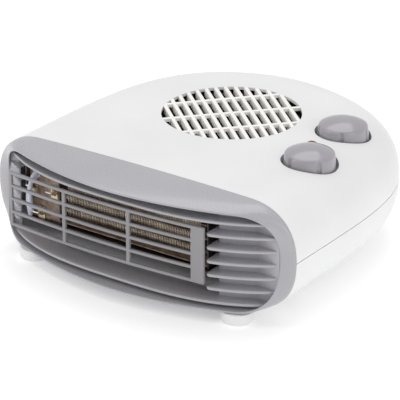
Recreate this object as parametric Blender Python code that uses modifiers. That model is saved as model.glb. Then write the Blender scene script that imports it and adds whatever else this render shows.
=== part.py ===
"""Flat fan heater: a low D-shaped casing with an air intake and two control knobs on top, and a
bulging grey louvred front with a guard window over wire heating coils wound on mica.

Metres, +Z up. The front faces -Y and +X is the controls' side. The origin is on the surface the
heater stands on, at the centre of its bounding box.
"""
import math

import bmesh
import bpy
import numpy as np
from mathutils import Matrix, Vector

# ---- driving dimensions ---------------------------------------------------------------------

CONTROL_HALF = 0.1282       # casing half width on the controls' side of the spine
PLAIN_HALF = 0.1168         # casing half width on the other side
HOUSING_DEPTH = 0.216       # from the seam with the front grille to the back
FRONT_BULGE = 0.038         # how far the grille's lip stands in front of the seam
SIDE_BULGE = 0.0035         # the same at the grille's two ends
FOOT_HEIGHT = 0.008         # floor to the underside of the casing
LOWER_HEIGHT = 0.0382       # underside of the casing to the parting line
UPPER_HEIGHT = 0.036        # parting line to the edge of the top
TOP_ARCH = 0.0022           # extra height of the top along its spine
RIM = 0.037                 # how far in the rounded rim reaches
RIM_POWER = 2.33            # squareness of the rim's section
PLAN_SIDE_POWER = 1.8       # squareness of the plan across the sides
PLAN_BACK_POWER = 4.45      # and along the depth
WALL = 0.0022               # moulded wall
GAP = 0.0003                # between pieces that touch

FIN_PITCH = 0.0095
FIN_COUNT = 7
FIN_THICKNESS = 0.0022
FIN_DEPTH = 0.015
TOP_FIN_Z = 0.0708          # middle of the highest fin
FIN_BULGE = 0.031           # front edge of a fin before the seam, in the middle
FIN_END_BULGE = 0.0030      # and where it meets the side of the ring
WINDOW_LEFT = -0.0986       # the cut fins' noses on each side of the window
WINDOW_RIGHT = 0.0674
RING_WALL = 0.0026          # at the seam
LIP = 0.0014                # the same wall at the lip
GROOVE_DEPTH = 0.009        # from a fin's edge to the closed wall behind the side fins

GUARD_THICKNESS = 0.0022
GUARD_BAR = 0.0022
GUARD_END_BAR = 0.0095      # the broad bar at the guard's right end

INTAKE_X = -0.0053
INTAKE_BACK = 0.1115        # its middle, behind the seam
INTAKE_RADIUS = 0.049
SLAT_PITCH = 0.0070
SLAT_THICKNESS = 0.0024
SLAT_DEPTH = 0.0055
SLAT_ANGLE = -42.0          # degrees from +X
CROSS_PITCH = 0.0265        # between the three bars that tie the slats
CROSS_DEPTH = 0.0025

FAN_RADIUS = 0.0435
FAN_HEIGHT = 0.030
FAN_BLADES = 20
SHAFT_RADIUS = 0.0016
BEARING_CLEARANCE = 0.00005
ROTOR_RADIUS = 0.013
ROTOR_CLEARANCE = 0.0005
STACK_HEIGHT = 0.015

FUNCTION_X, FUNCTION_BACK = 0.0839, 0.0735      # each knob's place, behind the seam
THERMOSTAT_X, THERMOSTAT_BACK = 0.0754, 0.1284
KNOB_RADIUS = 0.0183
KNOB_CLEARANCE = 0.0012
KNOB_HEIGHT = 0.0190
KNOB_DOME = 0.0045          # from the crease to the top
KNOB_CREASE = 0.0168        # radius where the dome meets the wall
KNOB_FLUTES = 5
WELL_FLOOR_Z = 0.0745
SPINDLE_RADIUS = 0.0030
SPINDLE_CLEARANCE = 0.00005
LENS_X, LENS_BACK = 0.0692, 0.0988
LENS_RADIUS = 0.0030

ELEMENT_LEFT = -0.072       # the end boards that the windings run between
ELEMENT_RIGHT = 0.052
ELEMENT_BACK = 0.0075       # middle of the winding, behind the seam
ELEMENT_DEPTH = 0.014
COIL_ROWS = 3
COIL_PITCH = 0.0096
TOP_COIL_Z = 0.0520
COIL_HEIGHT = 0.0082
COIL_DEPTH = 0.0100
MICA = 0.0008

DUCT_WALL = 0.0008
FOOT_RADIUS = 0.0112
FRONT_FOOT_X, FRONT_FOOT_AHEAD = 0.084, 0.0102  # before the seam
REAR_FOOT_X, REAR_FOOT_INSET = 0.060, 0.057     # from the back of the casing
PEG_RADIUS = 0.003
INLET_RADIUS = 0.0042
INLET_X, INLET_Z = -0.030, 0.030
SCREW_RADIUS = 0.0017

# ---- sizes that follow ----------------------------------------------------------------------

WIDTH = CONTROL_HALF + PLAIN_HALF
DEPTH = HOUSING_DEPTH + FRONT_BULGE
SPINE_X = (PLAIN_HALF - CONTROL_HALF) / 2
SEAM_Y = FRONT_BULGE - DEPTH / 2
PARTING_Z = FOOT_HEIGHT + LOWER_HEIGHT
TOP_Z = PARTING_Z + UPPER_HEIGHT
FLOOR_Z = FOOT_HEIGHT + WALL
BACK_Y = SEAM_Y + HOUSING_DEPTH
INTAKE_Y = SEAM_Y + INTAKE_BACK
FUNCTION_Y = SEAM_Y + FUNCTION_BACK
THERMOSTAT_Y = SEAM_Y + THERMOSTAT_BACK
LENS_Y = SEAM_Y + LENS_BACK
ELEMENT_Y = SEAM_Y + ELEMENT_BACK
FRONT_FOOT_Y = SEAM_Y - FRONT_FOOT_AHEAD
REAR_FOOT_Y = BACK_Y - REAR_FOOT_INSET
FIN_ZS = [TOP_FIN_Z - FIN_PITCH * i for i in range(FIN_COUNT)]
COIL_ZS = [TOP_COIL_Z - COIL_PITCH * i for i in range(COIL_ROWS)]

scene = bpy.context.scene
for old in list(bpy.data.objects):
    bpy.data.objects.remove(old, do_unlink=True)
parts = bpy.data.collections.new("flat_fan_heater")
cutters = bpy.data.collections.new("cutters")
scene.collection.children.link(parts)
scene.collection.children.link(cutters)


# ---- materials ------------------------------------------------------------------------------

def material(name, colour, roughness=0.45, metallic=0.0):
    made = bpy.data.materials.new(name)
    made.use_nodes = True
    shader = made.node_tree.nodes["Principled BSDF"]
    shader.inputs["Base Color"].default_value = (*colour, 1.0)
    shader.inputs["Roughness"].default_value = roughness
    shader.inputs["Metallic"].default_value = metallic
    return made


WHITE = material("white_abs", (0.86, 0.86, 0.85), 0.4)
GREY = material("grey_abs", (0.50, 0.51, 0.56), 0.4)
DARK_GREY = material("guard_grey", (0.22, 0.22, 0.22), 0.5)
KNOB_GREY = material("knob_grey", (0.45, 0.45, 0.49), 0.25)
AMBER = material("amber_lens", (0.75, 0.25, 0.06), 0.2)
GLASS = material("lamp_glass", (0.85, 0.80, 0.75), 0.1)
BLACK = material("black_plastic", (0.03, 0.03, 0.03), 0.5)
BAKELITE = material("bakelite", (0.09, 0.06, 0.05), 0.45)
STEEL = material("zinc_steel", (0.60, 0.60, 0.58), 0.35, 1.0)
LAMINATION = material("lamination", (0.30, 0.30, 0.31), 0.5, 1.0)
COPPER = material("enamelled_copper", (0.60, 0.28, 0.14), 0.35, 1.0)
BRASS = material("brass", (0.75, 0.58, 0.28), 0.35, 1.0)
BRONZE = material("sintered_bronze", (0.55, 0.38, 0.22), 0.5, 1.0)
MICA_BROWN = material("mica", (0.55, 0.40, 0.27), 0.4)
WIRE = material("heating_wire", (0.55, 0.50, 0.42), 0.35, 1.0)
CERAMIC = material("ceramic", (0.85, 0.83, 0.78), 0.4)
RUBBER = material("soft_foot", (0.80, 0.80, 0.79), 0.7)


# ---- making and joining ---------------------------------------------------------------------

def new_object(name, mesh, finish=None):
    """A mesh as a named part, or as a cutter when it has no material."""
    made = bpy.data.objects.new(name, mesh)
    (parts if finish else cutters).objects.link(made)
    if finish:
        mesh.materials.append(finish)
        mesh.shade_smooth()
        mesh.set_sharp_from_angle(angle=math.radians(35))
    else:
        made.hide_render = True
        made.display_type = "WIRE"
    return made


def from_bmesh(name, shape, finish=None):
    mesh = bpy.data.meshes.new(name)
    bmesh.ops.recalc_face_normals(shape, faces=shape.faces)
    shape.to_mesh(mesh)
    shape.free()
    return new_object(name, mesh, finish)


def box(name, low, high, finish=None, bevel=0.0):
    shape = bmesh.new()
    size = Vector(high) - Vector(low)
    centre = (Vector(high) + Vector(low)) / 2
    place = Matrix.Translation(centre) @ Matrix.Diagonal((*size, 1))
    bmesh.ops.create_cube(shape, size=1.0, matrix=place)
    if bevel:
        bmesh.ops.bevel(shape, geom=shape.edges[:], offset=bevel, segments=1, affect="EDGES")
    return from_bmesh(name, shape, finish)


def rod(name, centre, radius, length, axis="Z", finish=None, sides=24, tip=None):
    """A cylinder or, with a tip radius, a cone, about its centre along one axis."""
    shape = bmesh.new()
    turn = {"X": Matrix.Rotation(math.pi / 2, 4, "Y"), "Y": Matrix.Rotation(math.pi / 2, 4, "X"),
            "Z": Matrix.Identity(4)}[axis]
    bmesh.ops.create_cone(shape, cap_ends=True, segments=sides, radius1=radius,
                          radius2=radius if tip is None else tip, depth=length,
                          matrix=Matrix.Translation(centre) @ turn)
    return from_bmesh(name, shape, finish)


def turned(name, centre, profile, finish=None, sides=24):
    """A closed turned solid: the profile's (radius, height) points run down its outer side."""
    mesh = bpy.data.meshes.new(name)
    points = [(r, 0.0, z) for r, z in profile]
    closed = profile[0][0] > 0
    count = len(points)
    edges = [(i, i + 1) for i in range(count - 1)] + ([(count - 1, 0)] if closed else [])
    mesh.from_pydata(points, edges, [])
    made = new_object(name, mesh)
    made.location = centre
    screw = made.modifiers.new("turn", "SCREW")
    screw.steps = screw.render_steps = sides
    screw.use_merge_vertices = True
    screw.merge_threshold = 0.00002
    return bake(made, name, finish)


def plate(name, outline, low_z, high_z, finish=None, holes=()):
    """A flat outline, with any holes, extruded between two heights."""
    curve = bpy.data.curves.new(name, "CURVE")
    curve.dimensions = "2D"
    curve.fill_mode = "BOTH"
    curve.extrude = (high_z - low_z) / 2
    for loop in (outline, *holes):
        spline = curve.splines.new("POLY")
        spline.points.add(len(loop) - 1)
        for point, (x, y) in zip(spline.points, loop):
            point.co = (x, y, 0, 1)
        spline.use_cyclic_u = True
    made = bpy.data.objects.new(name, curve)
    cutters.objects.link(made)
    made.location = (0, 0, (high_z + low_z) / 2)
    return bake(made, name, finish)


def bake(source, name, finish=None):
    """The evaluated shape of an object as a plain mesh in the world's frame."""
    graph = bpy.context.evaluated_depsgraph_get()
    mesh = bpy.data.meshes.new_from_object(source.evaluated_get(graph))
    mesh.transform(source.matrix_world)
    mesh.materials.clear()
    bpy.data.objects.remove(source, do_unlink=True)
    shape = bmesh.new()
    shape.from_mesh(mesh)
    bmesh.ops.remove_doubles(shape, verts=shape.verts, dist=0.00002)
    bpy.data.meshes.remove(mesh)
    return from_bmesh(name, shape, finish)


def combine(target, tool, operation):
    """Cut, join or clip one shape with another, which is used up."""
    finish = target.data.materials[0] if target.data.materials else None
    step = target.modifiers.new(operation.lower(), "BOOLEAN")
    step.operation = operation
    step.object = tool
    name = target.name
    bpy.context.view_layer.update()
    result = bake(target, name, finish)
    bpy.data.objects.remove(tool, do_unlink=True)
    result.name = name
    return result


def grid_faces(rows, columns, close_rows=False, close_columns=False):
    """Quads between neighbours in a grid of points stored row by row."""
    faces = []
    for i in range(rows - (0 if close_rows else 1)):
        for j in range(columns - (0 if close_columns else 1)):
            below, beside = (i + 1) % rows, (j + 1) % columns
            faces.append((i * columns + j, i * columns + beside,
                          below * columns + beside, below * columns + j))
    return faces


def surface(name, points, faces):
    """A hand-built loft as a mesh whose doubled points are merged."""
    mesh = bpy.data.meshes.new(name)
    mesh.from_pydata([tuple(p) for p in points], [], faces)
    shape = bmesh.new()
    shape.from_mesh(mesh)
    bpy.data.meshes.remove(mesh)
    bmesh.ops.remove_doubles(shape, verts=shape.verts, dist=0.00001)
    return from_bmesh(name, shape)


def at_equal_steps(points, count, closed=False):
    """The same path with its points at equal distances along it."""
    path = np.vstack([points, points[:1]]) if closed else points
    along = np.concatenate([[0], np.cumsum(np.linalg.norm(np.diff(path, axis=0), axis=1))])
    steps = np.linspace(0, along[-1], count + 1 if closed else count)
    even = np.stack([np.interp(steps, along, path[:, k]) for k in range(2)], axis=1)
    return even[:-1] if closed else even


# ---- the casing's form ----------------------------------------------------------------------

PLAN_STEPS = 32
RIM_STEPS = 5


def signed_power(value, power):
    return np.sign(value) * np.abs(value) ** power


def plan_outline():
    """The parting line in plan, from the controls' side round the back, and its inward normals."""
    angle = np.linspace(0, math.pi, 2001)
    across = signed_power(np.cos(angle), 2 / PLAN_SIDE_POWER)
    half = np.where(across > 0, CONTROL_HALF, PLAIN_HALF)
    back = np.abs(np.sin(angle)) ** (2 / PLAN_BACK_POWER)
    fine = np.stack([SPINE_X + half * across, SEAM_Y + HOUSING_DEPTH * back], axis=1)
    line = at_equal_steps(fine, PLAN_STEPS + 1)
    run = np.gradient(line, axis=0)
    inward = np.stack([-run[:, 1], run[:, 0]], axis=1)
    inward /= np.linalg.norm(inward, axis=1)[:, None]
    inward[0], inward[-1] = (-1, 0), (1, 0)
    return line, inward


def arch(x, share):
    """Extra height of the top at x, for a point at this share of the rim's rise."""
    half = np.where(x > SPINE_X, CONTROL_HALF, PLAIN_HALF)
    return TOP_ARCH * (1 - ((x - SPINE_X) / half) ** 2) * share


def casing_surface(upward, trim=0.0, skin=0.0):
    """Half of the casing as an open surface: parting line, rounded rim, then the flat.

    It can be trimmed at the parting line, and lie a skin's thickness inside the true form.
    """
    line, inward = plan_outline()
    line = line + inward * skin
    rise = UPPER_HEIGHT - skin if upward else skin - LOWER_HEIGHT
    rows = []
    for step in range(RIM_STEPS + 1):
        turn = math.pi / 2 * step / RIM_STEPS
        inset = RIM * (1 - math.cos(turn) ** (2 / RIM_POWER))
        share = math.sin(turn) ** (2 / RIM_POWER)
        ring = line + inward * inset
        rows.append((ring, share))
    edge = rows[-1][0]
    middle = 1 - np.abs(np.linspace(-1, 1, PLAN_STEPS + 1))
    spine_length = edge[:, 1].max() - SEAM_Y - RIM
    spine = np.stack([np.full_like(middle, SPINE_X), SEAM_Y + spine_length * middle], axis=1)
    rows += [(edge + (spine - edge) * t, 1.0) for t in (0.4, 0.75, 1.0)]
    points = []
    for ring, share in rows:
        height = PARTING_Z + rise * share
        if upward:
            height = height + arch(ring[:, 0], share)
        if share == 0:
            height = height + (trim if upward else -trim)
        points += list(np.column_stack([ring, np.zeros(len(ring)) + height]))
    faces = grid_faces(len(rows), PLAN_STEPS + 1)
    if not upward:
        faces = [face[::-1] for face in faces]
    return points, faces


def casing_shell(name, upward):
    points, faces = casing_surface(upward, trim=GAP)
    made = surface(name, points, faces)
    up = sum(f.normal.z * f.area for f in made.data.polygons)
    if (up > 0) != upward:
        made.data.flip_normals()
    thick = made.modifiers.new("wall", "SOLIDIFY")
    thick.thickness = WALL
    thick.offset = -1
    thick.use_even_offset = True
    return bake(made, name)


def casing_block(upward):
    """The same half filled to the middle of its wall, to clip what must stay under the skin."""
    points, faces = casing_surface(upward, skin=WALL / 2)
    columns = PLAN_STEPS + 1
    rows = len(points) // columns
    faces.append(tuple(range(columns)))
    first = [r * columns for r in range(rows)]
    last = [r * columns + columns - 1 for r in range(rows - 1, -1, -1)]
    faces.append(tuple(first + last[1:]))
    return surface("casing_block", points, faces)


# ---- top housing ----------------------------------------------------------------------------

KNOBS = {"function": (FUNCTION_X, FUNCTION_Y), "thermostat": (THERMOSTAT_X, THERMOSTAT_Y)}
WELL_RADIUS = KNOB_RADIUS + KNOB_CLEARANCE
SCREWS = [(0.100, SEAM_Y + 0.027), (-0.108, SEAM_Y + 0.029), (0.056, BACK_Y - 0.039),
          (-0.070, BACK_Y - 0.043)]
BOSS_RADIUS = 0.0042
ABOVE = TOP_Z + TOP_ARCH + 0.004


def intake_lattice():
    """The round grille moulded into the top: leaning slats held by cross bars, in one disc."""
    top = TOP_Z + TOP_ARCH
    disc = rod("lattice", (INTAKE_X, INTAKE_Y, top - SLAT_DEPTH / 2), INTAKE_RADIUS + 0.0012,
               SLAT_DEPTH, sides=48)
    opening = rod("opening", (INTAKE_X, INTAKE_Y, top - SLAT_DEPTH / 2), INTAKE_RADIUS,
                  SLAT_DEPTH + 0.004, sides=48)
    turn = Matrix.Rotation(math.radians(SLAT_ANGLE), 4, "Z")
    centre = Vector((INTAKE_X, INTAKE_Y, top - SLAT_DEPTH / 2))
    slats = int(INTAKE_RADIUS / SLAT_PITCH)
    rows = np.arange(-slats - 1, slats + 1) + 0.5
    shape = bmesh.new()
    for row in rows:
        for column in (-1.5, -0.5, 0.5, 1.5):
            middle = column * CROSS_PITCH
            size = (CROSS_PITCH - SLAT_THICKNESS, SLAT_PITCH - SLAT_THICKNESS,
                    SLAT_DEPTH + 0.002)
            place = (Matrix.Translation(centre) @ turn @
                     Matrix.Translation((middle, row * SLAT_PITCH, 0)) @
                     Matrix.Diagonal((*size, 1)))
            bmesh.ops.create_cube(shape, size=1.0, matrix=place)
    cells = from_bmesh("cells", shape)
    shape = bmesh.new()
    for row in rows:
        size = (2 * INTAKE_RADIUS + 0.01, SLAT_PITCH - SLAT_THICKNESS - 0.0002, SLAT_DEPTH)
        place = (Matrix.Translation(centre) @ turn @
                 Matrix.Translation((0, row * SLAT_PITCH, -CROSS_DEPTH)) @
                 Matrix.Diagonal((*size, 1)))
        bmesh.ops.create_cube(shape, size=1.0, matrix=place)
    cells = combine(cells, from_bmesh("under_cross_bars", shape), "UNION")
    cells = combine(cells, opening, "INTERSECT")
    return combine(disc, cells, "DIFFERENCE")


def top_housing():
    shell = casing_shell("top_housing", True)
    hole = rod("hole", (INTAKE_X, INTAKE_Y, TOP_Z), INTAKE_RADIUS + 0.0006, 0.03, sides=48)
    shell = combine(shell, hole, "DIFFERENCE")
    shell = combine(shell, intake_lattice(), "UNION")
    for x, y in KNOBS.values():
        low = WELL_FLOOR_Z - WALL
        cup = rod("cup", (x, y, (low + ABOVE) / 2), WELL_RADIUS + WALL, ABOVE - low, sides=30)
        cup = combine(cup, casing_block(True), "INTERSECT")
        shell = combine(shell, cup, "UNION")
        well = rod("well", (x, y, (WELL_FLOOR_Z + ABOVE) / 2), WELL_RADIUS,
                   ABOVE - WELL_FLOOR_Z, sides=30)
        shell = combine(shell, well, "DIFFERENCE")
        bore = rod("bore", (x, y, WELL_FLOOR_Z), SPINDLE_RADIUS + 0.0006, 0.01)
        shell = combine(shell, bore, "DIFFERENCE")
    lens = rod("lens_hole", (LENS_X, LENS_Y, TOP_Z), LENS_RADIUS + GAP, 0.02)
    shell = combine(shell, lens, "DIFFERENCE")
    low = PARTING_Z + GAP
    for x, y in SCREWS:
        boss = rod("boss", (x, y, (low + ABOVE) / 2), BOSS_RADIUS, ABOVE - low, sides=16)
        boss = combine(boss, casing_block(True), "INTERSECT")
        shell = combine(shell, boss, "UNION")
        pilot = rod("pilot", (x, y, low + 0.005), SCREW_RADIUS + GAP, 0.0125, sides=16)
        shell = combine(shell, pilot, "DIFFERENCE")
    return new_part(shell, "top_housing", WHITE)


def new_part(shape, name, finish):
    """Move a finished shape among the parts."""
    mesh = shape.data
    bpy.data.objects.remove(shape, do_unlink=True)
    return new_object(name, mesh, finish)


top_housing()


# ---- base housing, feet and cord inlet --------------------------------------------------------

BUSH_RADIUS = 0.0072
FEET = {"foot_front_right": (FRONT_FOOT_X, FRONT_FOOT_Y),
        "foot_front_left": (-FRONT_FOOT_X, FRONT_FOOT_Y),
        "foot_rear_right": (REAR_FOOT_X, REAR_FOOT_Y),
        "foot_rear_left": (-REAR_FOOT_X, REAR_FOOT_Y)}
STACK_LOW = FLOOR_Z + 0.009
MOTOR_POSTS = [(INTAKE_X + dx, INTAKE_Y + dy) for dx in (-0.033, 0.033) for dy in (-0.015, 0.015)]


def back_y(x, z):
    """Where the casing's back wall is, at this x and height below the parting line."""
    share = (PARTING_Z - z) / LOWER_HEIGHT
    turn = math.asin(share ** (RIM_POWER / 2))
    inset = RIM * (1 - math.cos(turn) ** (2 / RIM_POWER))
    half = (CONTROL_HALF if x > SPINE_X else PLAIN_HALF) - inset
    across = abs(x - SPINE_X) / half
    cosine = across ** (PLAN_SIDE_POWER / 2)
    return SEAM_Y + (HOUSING_DEPTH - inset) * math.sin(math.acos(cosine)) ** (2 / PLAN_BACK_POWER)


def base_housing():
    shell = casing_shell("base_housing", False)
    for x, y in SCREWS:
        high = PARTING_Z - GAP
        post = rod("post", (x, y, (FOOT_HEIGHT - 0.004 + high) / 2), BOSS_RADIUS,
                   high - FOOT_HEIGHT + 0.004, sides=16)
        post = combine(post, casing_block(False), "INTERSECT")
        shell = combine(shell, post, "UNION")
        head = rod("head", (x, y, 0.013), 0.0034, 0.026, sides=16)
        shell = combine(shell, head, "DIFFERENCE")
        pilot = rod("pilot", (x, y, 0.035), SCREW_RADIUS + GAP, 0.05, sides=16)
        shell = combine(shell, pilot, "DIFFERENCE")
    for x, y in MOTOR_POSTS:
        high = STACK_LOW - 0.0016 - GAP
        post = rod("motor_post", (x, y, (FLOOR_Z - 0.001 + high) / 2), 0.0032,
                   high - FLOOR_Z + 0.001, sides=12)
        shell = combine(shell, post, "UNION")
    for name in ("foot_rear_right", "foot_rear_left"):
        peg = rod("peg_hole", (*FEET[name], FOOT_HEIGHT), PEG_RADIUS + GAP, 0.012, sides=16)
        shell = combine(shell, peg, "DIFFERENCE")
    back = back_y(INLET_X, INLET_Z)
    inlet = rod("inlet", (INLET_X, back, INLET_Z), BUSH_RADIUS + GAP, 0.05, axis="Y", sides=20)
    shell = combine(shell, inlet, "DIFFERENCE")
    return new_part(shell, "base_housing", WHITE)


base_housing()

for name, (x, y) in FEET.items():
    turned(name, (x, y, 0), [(0, FOOT_HEIGHT + 0.0035), (PEG_RADIUS, FOOT_HEIGHT + 0.003),
                             (PEG_RADIUS, FOOT_HEIGHT - GAP), (FOOT_RADIUS, FOOT_HEIGHT - GAP),
                             (FOOT_RADIUS, 0.001), (FOOT_RADIUS - 0.001, 0), (0, 0)], RUBBER, 20)

# The bush is a turned sleeve with a groove, lying along Y through the back wall.
inlet_back = back_y(INLET_X, INLET_Z)
bush = rod("cord_bush", (INLET_X, inlet_back - 0.001, INLET_Z), BUSH_RADIUS, 0.010, "Y", BLACK, 20)
lip = rod("lip", (INLET_X, inlet_back + 0.0025, INLET_Z), BUSH_RADIUS - 0.001, 0.005, "Y", None, 20)
bush = combine(bush, lip, "UNION")
bore = rod("bore", (INLET_X, inlet_back, INLET_Z), INLET_RADIUS, 0.05, "Y", None, 20)
bush = combine(bush, bore, "DIFFERENCE")

# ---- front grille ---------------------------------------------------------------------------

SECTION_STEPS = 64
TOP_CURL = 0.0046           # how far the lip turns in at the hood
SIDE_CURL = 0.0108          # at the two ends
BOTTOM_CURL = 0.0006        # and at the sill
CURL_POWER = 2.5
RING_POWER = 1.9            # squareness of the lip's bow in plan
FIN_POWER = 3.0             # and of the fins'
FIN_HALF = WIDTH / 2 - 0.012    # where the fins' front edge meets the ring


GROOVE_WALL = 0.0018
NOSE = 0.0035               # how far the cut fins overhang the closed wall behind them


def ring_section():
    """The casing's section at the seam, anticlockwise from the front, and its inward normals."""
    turn = np.linspace(-math.pi / 2, math.pi / 2, 361)
    inset = RIM * (1 - np.abs(np.cos(turn)) ** (2 / RIM_POWER))
    share = signed_power(np.sin(turn), 2 / RIM_POWER)
    height = PARTING_Z + np.where(share > 0, UPPER_HEIGHT, LOWER_HEIGHT) * share
    right = np.stack([WIDTH / 2 - inset, height], axis=1)
    left = np.stack([inset - WIDTH / 2, height], axis=1)[::-1]
    flat = np.linspace(WIDTH / 2 - RIM, RIM - WIDTH / 2, 201)[1:-1]
    top = np.stack([flat, np.full_like(flat, TOP_Z)], axis=1)
    bottom = np.stack([-flat, np.full_like(flat, FOOT_HEIGHT)], axis=1)
    loop = np.vstack([right, top, left, bottom])
    rise = np.clip((loop[:, 1] - PARTING_Z) / UPPER_HEIGHT, 0, 1)
    loop[:, 1] += arch(loop[:, 0], rise)
    loop = at_equal_steps(loop, SECTION_STEPS, closed=True)
    run = np.roll(loop, -1, axis=0) - np.roll(loop, 1, axis=0)
    inward = np.stack([-run[:, 1], run[:, 0]], axis=1)
    return loop, inward / np.linalg.norm(inward, axis=1)[:, None]


def bulge(x, middle, end, half, power):
    """How far a bowed front edge stands before the seam at x."""
    return end + (middle - end) * (1 - np.minimum(1, np.abs(x / half)) ** power)


def ring_row(along, deep):
    """A loop of the frame, this share along its reach and this deep inside its outer face."""
    loop, inward = ring_section()
    up, out = -inward[:, 1], inward[:, 0]
    curl = (TOP_CURL * np.maximum(up, 0) ** 2 + BOTTOM_CURL * np.maximum(-up, 0) ** 2
            + SIDE_CURL * out ** 2)
    reach = bulge(loop[:, 0], FRONT_BULGE, SIDE_BULGE, WIDTH / 2, RING_POWER) - GAP
    slope = CURL_POWER * curl * along ** (CURL_POWER - 1)
    length = np.hypot(slope, reach)
    inset = curl * along ** CURL_POWER + deep * reach / length
    forward = np.maximum(0, reach * along - deep * slope / length)
    place = loop + inward * inset[:, None]
    return np.column_stack([place[:, 0], SEAM_Y - GAP - forward, place[:, 1]])


def ring_wall(along):
    return RING_WALL + (LIP - RING_WALL) * along


def ring():
    """The grille's frame: a band that carries the casing's section forward to its lip."""
    outside = [(0.0, 0.0), (0.4, 0.0), (0.7, 0.0), (0.9, 0.0), (1.0, 0.2)]
    inside = [(1.0, 0.8), (0.9, 1.0), (0.6, 1.0), (0.0, 1.0)]
    rows = [ring_row(along, ring_wall(along) * share) for along, share in outside + inside]
    return surface("front_grille", np.vstack(rows),
                   grid_faces(len(rows), SECTION_STEPS, True, True))


def ring_filling():
    """A plug out to the middle of the ring's wall, to clip what spans the frame."""
    rows = [ring_row(along, ring_wall(along) / 2) for along in (0.0, 0.4, 0.7, 0.9, 1.0)]
    front = rows[-1].copy()
    front[:, 1] = -DEPTH
    rows.append(front)
    faces = grid_faces(len(rows), SECTION_STEPS, close_columns=True)
    last = (len(rows) - 1) * SECTION_STEPS
    faces += [tuple(range(SECTION_STEPS)), tuple(range(last, last + SECTION_STEPS))]
    return surface("ring_filling", np.vstack(rows), faces)


def fin_front(x):
    return SEAM_Y - bulge(x, FIN_BULGE, FIN_END_BULGE, FIN_HALF, FIN_POWER)


def front_grille():
    back = SEAM_Y - 0.0012
    across = np.linspace(-WIDTH / 2, WIDTH / 2, 23)
    front = fin_front(across)
    rear = np.minimum(front + FIN_DEPTH, back)
    outline = list(zip(across, front)) + list(zip(across, rear))[::-1]
    inner = []
    for number, z in enumerate(FIN_ZS):
        fin = plate("fin", outline, z - FIN_THICKNESS / 2, z + FIN_THICKNESS / 2)
        if 0 < number < FIN_COUNT - 1:
            window = box("window", (WINDOW_LEFT, -DEPTH, z - 0.01), (WINDOW_RIGHT, 0, z + 0.01))
            fin = combine(fin, window, "DIFFERENCE")
        inner.append(fin)
    for edge, side in ((WINDOW_LEFT, -1), (WINDOW_RIGHT, 1)):
        across = np.linspace(edge + side * NOSE, side * (WIDTH / 2 - 0.001), 9)
        front = np.minimum(fin_front(across) + GROOVE_DEPTH, back - GROOVE_WALL - GAP)
        outline = list(zip(across, front)) + list(zip(across, front + GROOVE_WALL))[::-1]
        inner.append(plate("groove", outline, PARTING_Z - LOWER_HEIGHT - 0.001,
                           TOP_Z + TOP_ARCH + 0.001))
    made = inner.pop()
    for shape in inner:
        made = combine(made, shape, "UNION")
    made = combine(made, ring_filling(), "INTERSECT")
    made = combine(ring(), made, "UNION")
    for name in ("foot_front_right", "foot_front_left"):
        peg = rod("peg_hole", (*FEET[name], FOOT_HEIGHT + 0.001), PEG_RADIUS + GAP, 0.007, sides=16)
        made = combine(made, peg, "DIFFERENCE")
    return new_part(made, "front_grille", GREY)


front_grille()


# ---- guard ----------------------------------------------------------------------------------

GUARD_BOW = 0.0045
GUARD_REACH = 0.0295        # the guard's face before the seam, in the middle
GUARD_LEFT = WINDOW_LEFT + 0.005
GUARD_RIGHT = WINDOW_RIGHT - GAP
GUARD_ROWS = 4
GUARD_HEIGHT = GUARD_ROWS * FIN_PITCH + 0.002
GUARD_COLUMNS = (0.0505, 0.1040)    # uprights, from the left end
GUARD_LOW = FIN_ZS[-2] + 0.0026


def guard_y(x):
    middle = (GUARD_LEFT + GUARD_RIGHT) / 2
    half = (GUARD_RIGHT - GUARD_LEFT) / 2
    return SEAM_Y - GUARD_REACH + GUARD_BOW * ((x - middle) / half) ** 2


def guard_grid():
    across = np.linspace(GUARD_LEFT, GUARD_RIGHT, 15)
    face = guard_y(across)
    outline = list(zip(across, face)) + list(zip(across, face + GUARD_THICKNESS))[::-1]
    made = plate("guard_grid", outline, GUARD_LOW, GUARD_LOW + GUARD_HEIGHT)
    rise = (GUARD_HEIGHT - GUARD_BAR) / GUARD_ROWS
    edges = [GUARD_LEFT + GUARD_BAR, *(GUARD_LEFT + c for c in GUARD_COLUMNS),
             GUARD_RIGHT - GUARD_END_BAR + GUARD_BAR]
    for row in range(GUARD_ROWS):
        low = GUARD_LOW + GUARD_BAR + row * rise
        for left, right in zip(edges, edges[1:]):
            cell = box("cell", (left, -DEPTH, low), (right - GUARD_BAR, 0, low + rise - GUARD_BAR))
            made = combine(made, cell, "DIFFERENCE")
    for x in (GUARD_LEFT + 0.0012, GUARD_RIGHT - 0.0014):
        for z in (GUARD_LOW + 0.0012, GUARD_LOW + GUARD_HEIGHT - 0.0012):
            face = guard_y(x) + GUARD_THICKNESS / 2
            pin = box("pin", (x - 0.0009, face, z - 0.0009), (x + 0.0009, face + 0.012, z + 0.0009))
            made = combine(made, pin, "UNION")
    return new_part(made, "guard_grid", DARK_GREY)


guard_grid()


# ---- knobs, switch, thermostat and lamp -------------------------------------------------------

SPINDLE_LENGTH = 0.026
KNOB_FOOT = WELL_FLOOR_Z + 0.0008
KNOB_TOP = WELL_FLOOR_Z + KNOB_HEIGHT
CONTROL_TOP = WELL_FLOOR_Z - WALL - GAP     # the underside that the controls hang from
CONTROL_DEPTH = 0.017


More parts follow.
